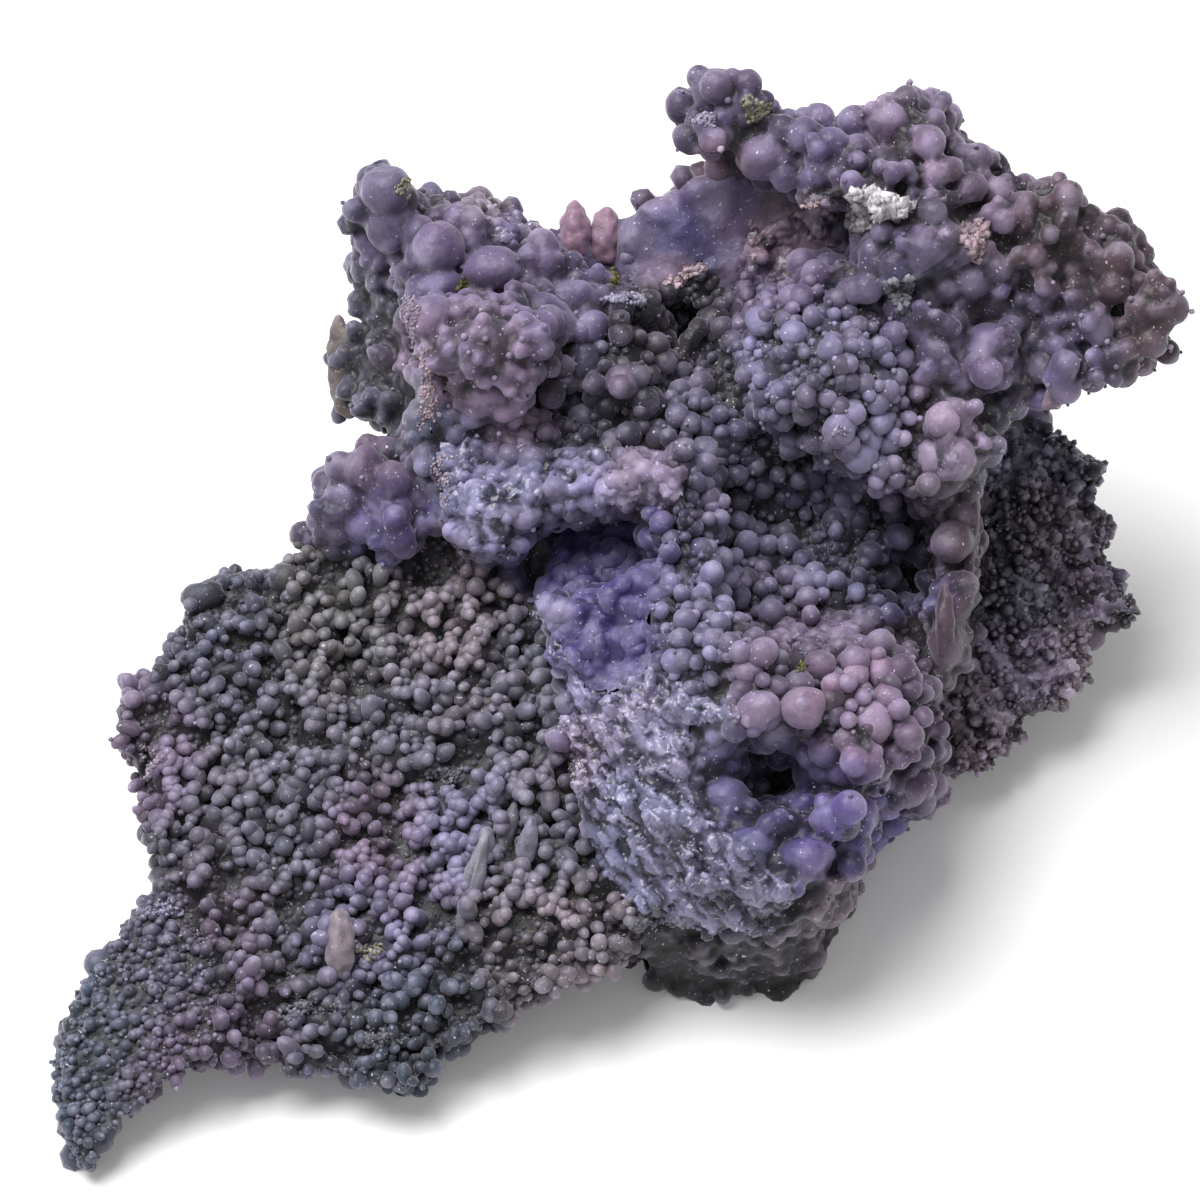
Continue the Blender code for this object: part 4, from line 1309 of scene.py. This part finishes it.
def druse_sheet(zone):
    width, stretch, height, tilt, gain, cuts, frost_and_highlight_share, dome_width, dome_rise = DRUSE[zone]
    mesh, rim = fine_sheet(zone, cuts)
    patch = patch_of(mesh, zone)
    normals = vertex_normals(mesh)
    heights = np.array([plane_height(place, width, stretch, tilt) for place in patch["places"]])
    fine = np.array([noise.noise(Vector(place) / ROUGH_WIDTH) for place in patch["places"]])
    fade = rim_fade(mesh, rim, 4)
    streaks = np.array(
        [noise.noise(on_grain(place, STREAK_WIDTH, STREAK_STRETCH)) for place in patch["places"]]
    )
    domes = np.array([dome_height(place, dome_width) for place in patch["places"]])
    lift = 0.25 + height * np.clip(heights, -1.0, 1.2) + 0.10 * fine
    lift += STREAK_HEIGHT * streaks + dome_rise * (domes - DOME_LEVEL)
    lift = fade * lift - (1.0 - fade) * RIM_SINK
    patch["places"] = patch["places"] + normals * lift[:, None]
    patch["rise"] = np.full(len(heights), 1.0)
    # Painted light and shade: the higher planes, streaks and domes turn lighter, the lower ones darker.
    relief = 0.5 * heights + 1.2 * streaks + 0.4 * (domes - DOME_LEVEL)
    patch["tone"] = np.clip(0.45 + 0.6 * relief, 0.0, 1.0)
    patch["cavity"] = np.clip(0.3 - 0.7 * relief, 0.0, 1.0)
    colours = body_colours(patch) * gain
    # Frost on the highest planes, partly white quartz and partly painted highlight.
    frost = (frost_and_highlight_share * eased(heights + 0.6 * fine + streaks, 0.45, 1.3))[:, None]
    return patch, colours * (1 - frost) + np.array(linear(FROST_AND_HIGHLIGHT)) * frost


# %% [markdown]
# In the violet hollow and on the slab the grapes have melted away, and the stone is nearly smooth. There
# the skin gets a finer sheet too, swollen into low domes. Grapes could be sunk into it instead, but their
# rims would show where the real stone has none.

# %% Smooth sheets
# Zone: width and height of the domes.
SMOOTH_SHEETS = {
    "violet": (3.6, 0.9),
    "slab": (7.0, 0.35),
}


def smooth_sheet(zone):
    width, height = SMOOTH_SHEETS[zone]
    mesh, rim = fine_sheet(zone, 1)
    patch = patch_of(mesh, zone)
    normals = vertex_normals(mesh)
    domes = np.array([dome_height(place, width) for place in patch["places"]])
    fade = rim_fade(mesh, rim, 3)
    lift = fade * (0.2 + height * domes) - (1.0 - fade) * RIM_SINK
    patch["places"] = patch["places"] + normals * lift[:, None]
    # Painted light and shade: the tops of the domes are lighter and paler, the creases between them darker.
    patch["rise"] = domes
    patch["tone"] = 0.35 + 0.35 * domes
    return patch


for zone in SMOOTH_SHEETS:
    patch = smooth_sheet(zone)
    piece(zone + "_sheet", patch, clear_chalcedony, body_colours(patch))

for zone in DRUSE:
    patch, colours = druse_sheet(zone)
    quartz = smoky_quartz if zone == "dark_plate" else drusy_quartz
    piece(zone + "_druse", patch, quartz, colours, smooth=False)

# %% [markdown]
# On the plate the grapes have grown into one another in short chains, like coral. Each chain wanders a
# few steps over what has grown, leaning one way, and leaves a ball at each step.

# %% Chains
# Chains: x, y of the middle, half widths of the area, how many, steps, radius and lean in degrees.
CHAINS = {
    "plate_right": (-20, -42, 13, 12, 46, 5, 1.25, 72),
    "plate_middle": (-42, -30, 18, 18, 30, 4, 1.15, 60),
    "plate_top": (-34, -6, 16, 7, 30, 4, 1.15, 40),
    "plate_left": (-66, -28, 10, 14, 16, 4, 1.15, 90),
}
CHAIN_STEP = 1.25
CHAIN_WANDER = 0.7


def front_tree(parts):
    """A search tree over the triangles of several patches that face the viewer."""
    whole = joined(parts)
    corners = whole["places"][whole["triangles"]]
    across = np.cross(corners[:, 1] - corners[:, 0], corners[:, 2] - corners[:, 0])
    triangles = whole["triangles"][across[:, 2] > 0]
    return BVHTree.FromPolygons(whole["places"].tolist(), triangles.tolist())


def drop_at(tree, x, y):
    """The place and outward normal of what a thing dropped at x, y lands on, or None."""
    hit, normal, _, _ = tree.ray_cast(Vector((x, y, DROP_FROM)), Vector((0.0, 0.0, -1.0)))
    return None if hit is None else (np.array(hit), np.array(normal))


def chain(tree, x, y, steps, radius, heading, chance):
    """Balls of about a radius that follow one another over what has grown."""
    points, triangles = BALLS[2]
    made = []
    tone = chance.uniform(0.4, 0.9)
    hue = chance.uniform(0.2, 0.8)
    lift = chance.uniform(0.0, 0.6)
    for _ in range(steps):
        landed = drop_at(tree, x, y)
        if landed is None:
            break
        size = radius * chance.uniform(0.75, 1.15)
        centre = landed[0] + np.array([0.0, 0.0, size * lift - 0.3])
        dents = np.array([noise.noise(Vector(point) * 1.5 + Vector((x, y, 0))) for point in points])
        places = points * (size * (1.0 + 0.12 * dents))[:, None] + centre
        # The height on each ball towards the viewer gives painted shade at its foot and a painted highlight
        # on its top.
        made.append(plain_patch(places, triangles, "plate", tone, hue, points[:, 2]))
        heading += chance.uniform(-CHAIN_WANDER, CHAIN_WANDER)
        x += math.cos(heading) * size * CHAIN_STEP
        y += math.sin(heading) * size * CHAIN_STEP
    return made


chance = random.Random(GROWTH_SEED + 2)
plate_tree = front_tree(patches["plate"])
chain_patches = []
for x, y, half_x, half_y, count, steps, radius, lean in CHAINS.values():
    for _ in range(count):
        start_x = x + chance.uniform(-half_x, half_x)
        start_y = y + chance.uniform(-half_y, half_y)
        heading = math.radians(lean) + chance.choice((0.0, math.pi)) + chance.uniform(-0.5, 0.5)
        chain_patches += chain(plate_tree, start_x, start_y, steps, radius, heading, chance)
patches["plate_chains"] = chain_patches
print("chain balls", len(chain_patches))

# %% [markdown]
# On the blocks and the arm the real grapes grow through one another with soft necks, and the back is
# taken to be like them. There the skin and what has grown on it are melted into one surface by a voxel
# remesh, finer than the first. Each of its vertices takes the values of the nearest place of what went
# in, blended a little over the necks. The round grapes of the other zones, the buds and the sharp crystals of the right plate stay as
# they are, because a remesh would wear their edges away.

# %% Fusing
FUSED_VOXEL = 0.5 * MM
FUSED_SMOOTHING = 1
NOT_FUSED = (
    "tail", "plate", "plate_chains", "valley", "divide", "lobe", "pink_ridge", "left_right", "cavity",
    "dark_recess", "dark_plate",
)
# How far the skin is sunk under the finer sheets, in millimetres.
UNDER_SHEETS = 1.3
# Painted shade: how bright the bare skin between the grapes is left.
GAP_SHADE = 0.25
BLEND_STEPS = 2
# Painted shade darkens creases, which are found by how far the stone around a vertex lies above it, in
# millimetres.
HOLLOW_STEPS = 5
CREASE = (-0.02, 0.16)
CREASE_SHADE = 0.45
FUSED_GROUPS = {
    "plate_skin": ("plate",),
    "tail_and_hump_grapes": ("tail", "hump", "foot"),
    "left_block_grapes": ("left_side", "left_purple", "lip", "rear_ridge", "dusty_lump", "rear_crust"),
    "front_block_grapes": ("violet", "drusy", "grape_hollow", "wing"),
    "valley_skin": ("cavity", "valley", "dark_recess", "divide", "pink_ridge", "left_right", "lobe"),
    "ridge_grapes": ("right_ridge", "slab", "slab_lump"),
    "arm_grapes": ("arm_top", "arm_end", "arm_recess", "arm_front"),
    "right_plate_skin": ("dark_plate",),
    "back_grapes": ("back",),
}
ROUND_GROUPS = {
    "tail_grapes": ("tail",),
    "plate_grapes": ("plate",),
    "plate_chains": ("plate_chains",),
    "valley_grapes": ("valley", "cavity", "dark_recess", "left_right"),
    "front_grapes": ("divide", "pink_ridge"),
    "lobe_grapes": ("lobe",),
}
# Pieces that are thinned out, and the share of their triangles that is kept.
SHARE_KEPT = {
    "back_grapes": 0.15, "plate_skin": 0.2, "valley_skin": 0.25, "right_plate_skin": 0.3,
    "tail_and_hump_grapes": 0.75, "left_block_grapes": 0.8, "front_block_grapes": 0.8,
    "arm_grapes": 0.75,
}
# Pieces where light goes into the stone.
CLEAR = ("left_block_grapes", "front_block_grapes", "arm_grapes", "ridge_grapes")
BACK_GAIN = 0.85


def thinned_patch(patch, colours, share):
    """The patch with that share of its triangles, and the colours that go with it."""
    carrier = add_object("thinning_carrier", bare_mesh(patch, "thinning"))
    decimate = carrier.modifiers.new("thin_out", "DECIMATE")
    decimate.ratio = share
    thin = patch_of(result_of(carrier, "thinned"), "back")
    bpy.data.objects.remove(carrier)
    tree = tree_over(patch["places"])
    near = [tree.find(Vector(place))[1] for place in thin["places"]]
    return thin, colours[near]


def tree_over(places):
    """A tree that finds the nearest of the places."""
    tree = KDTree(len(places))
    for index, place in enumerate(places):
        tree.insert(place, index)
    tree.balance()
    return tree


def sunk_skin():
    """The skin as a patch, sunk where finer sheets are laid over it."""
    patch = patch_of(skin_mesh)
    sheets = [ZONE_NAMES.index(zone) for zone in (*DRUSE, *SMOOTH_SHEETS)]
    covered = np.isin(patch["zone"].astype(int), sheets).astype(float)
    covered = eased(blurred(covered, vertex_links(skin_mesh), 4), 0.5, 1.0)
    patch["places"] = patch["places"] - vertex_normals(skin_mesh) * (UNDER_SHEETS * covered)[:, None]
    patch["rise"] = np.full(len(covered), 0.1)
    return patch


def valued(mesh, source, source_tree):
    """A patch of a mesh that takes its values from the nearest places of the source."""
    patch = patch_of(mesh, "back")
    near = np.array([source_tree.find(Vector(place))[1] for place in patch["places"]])
    links = vertex_links(mesh)
    for name in VALUES:
        patch[name] = source[name][near]
    for name in ("tone", "hue", "rise"):
        patch[name] = blurred(patch[name], links, BLEND_STEPS)
    patch["gap"] = blurred((near < SKIN_COUNT).astype(float), links, BLEND_STEPS)
    around = np.stack([blurred(patch["places"][:, side], links, HOLLOW_STEPS) for side in range(3)], 1)
    patch["hollow"] = ((around - patch["places"]) * vertex_normals(mesh)).sum(1)
    return patch


def part_of(patch, keep):
    """The part of a patch that has only the triangles marked in keep."""
    used, triangles = np.unique(patch["triangles"][keep], return_inverse=True)
    part = {name: patch[name][used] for name in ("places", "gap", "hollow", *VALUES)}
    part["triangles"] = triangles.reshape(-1, 3)
    return part


source_parts = [sunk_skin()]
SKIN_COUNT = len(source_parts[0]["places"])
for zone, parts in patches.items():
    if zone not in NOT_FUSED:
        source_parts += parts
source = joined(source_parts)
print("to be fused", len(source["triangles"]), "triangles")
source_tree = tree_over(source["places"])
fused_mesh = remeshed(bare_mesh(source, "source"), "fused", FUSED_VOXEL, FUSED_SMOOTHING)
fused = valued(fused_mesh, source, source_tree)
print("fused", len(fused["triangles"]), "triangles")

group_of_zone = np.full(len(ZONE_NAMES), list(FUSED_GROUPS).index("back_grapes"))
for index, zones in enumerate(FUSED_GROUPS.values()):
    group_of_zone[[ZONE_NAMES.index(zone) for zone in zones]] = index
group_of_triangle = group_of_zone[fused["zone"][fused["triangles"][:, 0]].astype(int)]
for index, name in enumerate(FUSED_GROUPS):
    part = part_of(fused, group_of_triangle == index)
    colours = body_colours(part, BACK_GAIN if name == "back_grapes" else 1.0)
    # Painted shade: the bare skin in the gaps and the creases are darkened.
    colours *= (1.0 - (1.0 - GAP_SHADE) * part["gap"])[:, None]
    colours *= (1.0 - (1.0 - CREASE_SHADE) * eased(part["hollow"], *CREASE))[:, None]
    if name in SHARE_KEPT:
        part, colours = thinned_patch(part, colours, SHARE_KEPT[name])
    piece(name, part, clear_chalcedony if name in CLEAR else chalcedony, colours)

for name, zones in ROUND_GROUPS.items():
    balls = joined([part for zone in zones for part in patches[zone]])
    piece(name, balls, chalcedony, body_colours(balls))
# Buds and the right plate's crystals get a larger share of the painted highlight on their tips.
small = joined(bud_patches)
piece("buds", small, chalcedony, body_colours(small, 1.0, 0.5))
small = joined(patches["dark_plate"])
piece("dark_plate_crystals", small, smoky_quartz, body_colours(small, 1.0, 0.75), smooth=False)

# %% [markdown]
# Crusts of small crystals and crumbs of host rock sit on the grapes in a few places. They are scattered in
# code over an ellipse and dropped on what has grown. Geometry Nodes could scatter them as well, but they
# would need an area marked for each crust.

# %% Crusts
# Crust: x, y, half widths, how many crystals, smallest and largest radius, colour.
CRUST_COLOURS = {
    "cream": "#d8d2d8",
    "pale": "#c6bccb",
    "pink_rock": "#bfa7b1",
    "pale_ash": "#a19fac",
    "frost": "#a9a3bd",
    "pink_frost": "#ad9cad",
    "ash": "#807e88",
    "olive": "#6f6b42",
    "straw": "#a6a18f",
}
CRUSTS = {
    "arm_rock_large": (45.6, 65.2, 5.8, 3.4, 330, 0.3, 1.3, "cream"),
    "arm_rock_right": (62.2, 60.2, 2.4, 3.8, 190, 0.3, 1.1, "pink_rock"),
    "arm_rock_low": (49.8, 51.2, 2.6, 3.2, 150, 0.3, 0.9, "pale_ash"),
    "arm_tip_rock": (26, 81.8, 3.0, 2.2, 150, 0.3, 0.7, "straw"),
    "arm_tip_frost": (17.5, 80, 2.6, 1.6, 60, 0.25, 0.5, "frost"),
    "lobe_crystals": (39.7, 27.8, 1.6, 1.1, 30, 0.25, 0.5, "frost"),
    "saddle_ledge": (4.5, 50.5, 4.6, 1.0, 90, 0.3, 0.7, "frost"),
    "slab_rim": (13, 55.5, 5.0, 2.4, 190, 0.3, 0.8, "pink_rock"),
    "slab_frost": (15, 66.5, 2.6, 1.6, 60, 0.2, 0.5, "frost"),
    "wall_rim": (25.8, 61, 1.8, 4.6, 170, 0.3, 0.7, "pink_rock"),
    "wall_crest": (32, 65.5, 4.5, 1.4, 120, 0.3, 0.6, "pink_rock"),
    "face_edge": (-3.5, -25, 1.7, 6.5, 260, 0.2, 0.5, "pale"),
    "face_corner": (-9.5, -1, 1.6, 3.2, 90, 0.3, 0.7, "frost"),
    "left_seam_high": (-31.5, 47, 1.8, 6.0, 130, 0.2, 0.45, "pink_frost"),
    "left_seam": (-28.8, 34, 1.9, 7.0, 150, 0.2, 0.45, "pink_rock"),
    "left_seam_low": (-26.2, 21, 1.8, 5.5, 110, 0.2, 0.45, "pink_frost"),
    "lip_frost": (-18, 17, 2.4, 1.6, 40, 0.2, 0.4, "frost"),
    "plate_ash": (-26, -29, 4.2, 1.6, 90, 0.25, 0.6, "ash"),
    "plate_low_ash": (-48, -67, 6.0, 2.2, 150, 0.25, 0.6, "ash"),
    "plate_rim_ash": (-36, -72, 4.0, 2.0, 80, 0.25, 0.6, "ash"),
    "plate_small_ash": (-38, -58, 2.2, 1.6, 40, 0.25, 0.55, "straw"),
    "plate_left_frost": (-75, -27, 2.4, 3.4, 50, 0.25, 0.5, "pink_frost"),
    "tail_root_frost": (-72, -51, 3.6, 1.6, 90, 0.25, 0.55, "frost"),
    "foot_of_face": (9, -53, 4.4, 1.1, 90, 0.3, 0.7, "ash"),
    "olive_left": (-23, 53, 1.1, 1.3, 18, 0.25, 0.6, "olive"),
    "olive_saddle": (2.5, 54.5, 0.8, 2.2, 22, 0.25, 0.6, "olive"),
    "olive_front": (33, -11, 1.6, 0.9, 16, 0.25, 0.55, "olive"),
    "peak_crust": (-33, 69, 1.3, 2.2, 36, 0.3, 0.6, "straw"),
}
# The outline of a crust: its mean, how far its lobes stand out, and how many there are.
CRUST_OUTLINE = (0.8, 0.3, 3)
OCTAHEDRON_POINTS = np.array(
    [[1, 0, 0], [0, 1, 0], [-1, 0, 0], [0, -1, 0], [0, 0, 1], [0, 0, -1]], dtype=float
)
OCTAHEDRON_TRIANGLES = np.array(
    [[0, 1, 4], [1, 2, 4], [2, 3, 4], [3, 0, 4], [1, 0, 5], [2, 1, 5], [3, 2, 5], [0, 3, 5]]
)


def crystal_patch(centre, radius, chance):
    """A small crystal of eight flat faces, stretched and turned by chance."""
    turn = Matrix.Rotation(
        chance.uniform(0, FULL_TURN), 3, Vector((chance.random(), chance.random(), 1))
    )
    sides = np.array([1.0, chance.uniform(0.6, 1.0), chance.uniform(1.0, 1.7)])
    places = (OCTAHEDRON_POINTS * sides * radius) @ np.array(turn)
    return plain_patch(
        places + centre, OCTAHEDRON_TRIANGLES, "back", chance.random(), chance.random(), 1.0
    )


def crust(tree, x, y, half_x, half_y, count, smallest, largest, chance):
    """Crystals dropped over an ellipse with an uneven outline."""
    made = []
    mean, swing, lobes = CRUST_OUTLINE
    for _ in range(count):
        angle = chance.uniform(0, math.tau)
        away = math.sqrt(chance.random()) * (mean + swing * math.sin(lobes * angle + x))
        landed = drop_at(tree, x + half_x * away * math.cos(angle), y + half_y * away * math.sin(angle))
        if landed is None:
            continue
        radius = chance.uniform(smallest, largest)
        made.append(crystal_patch(landed[0] + landed[1] * radius * 0.2, radius, chance))
    return made


grown_tree = front_tree([fused] + [part for zone in NOT_FUSED for part in patches[zone]])
chance = random.Random(GROWTH_SEED + 1)
crust_patches = []
crust_colours = []
for x, y, half_x, half_y, count, smallest, largest, colour_name in CRUSTS.values():
    made = crust(grown_tree, x, y, half_x, half_y, count, smallest, largest, chance)
    if not made:
        continue
    patch = joined(made)
    crust_patches.append(patch)
    shade = (0.45 + 0.65 * patch["tone"])[:, None]
    crust_colours.append(np.array(linear(CRUST_COLOURS[colour_name])) * shade)
piece("crusts", joined(crust_patches), host_rock, np.concatenate(crust_colours), smooth=False)

# %% [markdown]
# Fingers are long grapes, and the flake on the left is a flat one. Balls strung along a line and melted
# together would be heavier than one stretched ball, and look the same at this size.

# %% Fingers and flake
# Finger: x, y of the middle, radius, half length, lean to the right, thickness as a share of the
# width, how far it stands out, and colour.
FINGERS = {
    "pink_left": (-4.2, 62.5, 2.6, 5.2, 0.0, 1.0, 1.0, "flesh"),
    "pink_right": (0.8, 61.8, 2.9, 5.2, 0.05, 1.0, 1.0, "flesh"),
    "left_flake": (-43.6, 39.5, 2.8, 8.8, -0.1, 0.4, 3.0, "flake_brown"),
    "ridge_front": (57.5, -3.5, 1.6, 6.4, 0.0, 1.0, 0.6, "ridge_mauve"),
    "ridge_rear": (61.2, -3.5, 1.5, 5.6, 0.0, 1.0, -0.4, "ridge_mauve"),
    "ridge_wall": (62.2, 12.6, 1.2, 10.6, 0.05, 1.2, 0.2, "ridge_mauve"),
    "plate_upright": (-42.8, -56.5, 2.4, 5.8, 0.0, 1.0, 2.8, "warm_grey"),
    "plate_blade": (-21.0, -47, 1.7, 8.0, 0.25, 1.0, 0.9, "finger_grey"),
    "plate_blade_head": (-19.4, -40.5, 1.9, 3.2, 0.3, 1.0, 1.2, "finger_grey"),
    "plate_finger_a": (-15.5, -38.5, 1.5, 5.0, 0.3, 1.0, 0.9, "finger_grey"),
    "plate_finger_b": (-12.0, -40.0, 1.6, 4.2, 0.2, 1.0, 0.9, "grey"),
    "hanging_drop": (76.0, 35.0, 1.7, 3.6, 0.3, 1.0, -2.5, "mauve_brown"),
}
FINGER_BUMP = 0.6
FINGER_BUMP_WIDTH = 1.7
# An ellipse is 2: more is blunter. The taper is the share of the width lost towards the tip.
BLUNTNESS = 3.2
TAPER = 0.3


def finger_patch(x, y, radius, half, lean, thickness, out):
    """A patch of one finger, over the skin below its foot or, where there is none, beside or above it."""
    found = drop_at(skin_drop_tree, x, y - half * 0.5) or drop_at(skin_drop_tree, x + 3.0, y)
    found = found or drop_at(skin_drop_tree, x, y + half + 2.0)
    height = found[0][2]
    points, triangles = BALLS[4 if radius > 2.0 else 3]
    along_finger = np.abs(points[:, 1])
    blunt = np.sqrt((1.0 - along_finger**BLUNTNESS + 0.002) / (1.0 - along_finger**2 + 0.002))
    taper = blunt * (1.0 - TAPER * np.clip(points[:, 1], 0.0, 1.0))
    places = points * np.array([radius, half, radius * thickness])
    places[:, [0, 2]] *= taper[:, None]
    places[:, 0] += places[:, 1] * lean
    shift = Vector((x, y, 0))
    bumps = np.array([noise.noise(Vector(place) / FINGER_BUMP_WIDTH + shift) for place in places])
    places += points * (bumps * FINGER_BUMP)[:, None] + np.array([x, y, height + out])
    return plain_patch(places, triangles, "back", 0.6, 0.5, bumps)


skin_drop_tree = front_tree([patch_of(skin_mesh)])
finger_patches = []
finger_colours = []
for *sizes, colour_name in FINGERS.values():
    patch = finger_patch(*sizes)
    # Painted light: each finger is lighter on its bumps and towards its upper end.
    shade = 0.9 + 0.5 * patch["rise"] + 0.25 * eased(patch["places"][:, 1] - sizes[1], 0.0, sizes[3])
    finger_patches.append(patch)
    finger_colours.append(np.array(linear(PALETTE[colour_name])) * shade[:, None])
piece("fingers", joined(finger_patches), clear_chalcedony, np.concatenate(finger_colours))

# %% [markdown]
# The set: a plain white floor, one broad soft light high on the left and behind, which throws the shadow
# to the lower right, and a pale surround. The paper glows a little, so that it stays white in the light.

# %% Stage
FLOOR_SIDE = 6.0
PAPER_GLOW = 0.08
SURROUND_STRENGTH = 0.42
LIGHT_PLACE = Vector((-0.47, 0.19, 1.35))
LIGHT_TARGET = Vector((0.0, 0.0, 0.03))
LIGHT_SIDE = 1.2
LIGHT_POWER = 28.5

floor_mesh = bpy.data.meshes.new("floor")
bm = bmesh.new()
bmesh.ops.create_grid(bm, x_segments=1, y_segments=1, size=FLOOR_SIDE / 2)
bm.to_mesh(floor_mesh)
bm.free()
floor = add_object("floor", floor_mesh)
paper = bpy.data.materials.new("white_paper")
paper.use_nodes = True
paper_inputs = paper.node_tree.nodes["Principled BSDF"].inputs
paper_inputs["Base Color"].default_value = (*linear("#f7f7f7"), 1)
paper_inputs["Roughness"].default_value = 0.8
paper_inputs["Emission Color"].default_value = (1.0, 1.0, 1.0, 1.0)
paper_inputs["Emission Strength"].default_value = PAPER_GLOW
floor_mesh.materials.append(paper)

world = bpy.data.worlds.new("pale_surround")
world.use_nodes = True
surround_inputs = world.node_tree.nodes["Background"].inputs
surround_inputs["Color"].default_value = (1.0, 1.0, 1.0, 1.0)
surround_inputs["Strength"].default_value = SURROUND_STRENGTH
bpy.context.scene.world = world

light_data = bpy.data.lights.new("key_light", "AREA")
light_data.shape = "DISK"
light_data.size = LIGHT_SIDE
light_data.energy = LIGHT_POWER
light = add_object("key_light", light_data)
light.location = LIGHT_PLACE
light.rotation_euler = (LIGHT_TARGET - LIGHT_PLACE).to_track_quat("-Z", "Y").to_euler()
print("light", round((LIGHT_TARGET - LIGHT_PLACE).length, 2), "m away")

# %% [markdown]
# The camera looks straight at the display side, from far enough off that nothing is drawn out towards
# it. Its lens follows from how much of the display side the picture takes in.

# %% Camera
CAMERA_AWAY = 1200.0
HALF_FRAME = 100.0
# The lens is worked out for things this far in front of the display frame's origin.
FRAMED_HEIGHT = 60.0
SENSOR = 36.0
camera_data = bpy.data.cameras.new("camera")
camera_data.sensor_width = SENSOR
camera_data.lens = SENSOR / 2 * CAMERA_AWAY / HALF_FRAME
camera_data.clip_end = 20.0
camera = add_object("camera", camera_data)
camera.location = FROM_DISPLAY @ Vector((0, 0, FRAMED_HEIGHT + CAMERA_AWAY))
camera.rotation_euler = (DISPLAY_TILT, 0, 0)
bpy.context.scene.camera = camera
bpy.context.scene.view_settings.view_transform = "Standard"
print("lens", round(camera_data.lens), "mm")
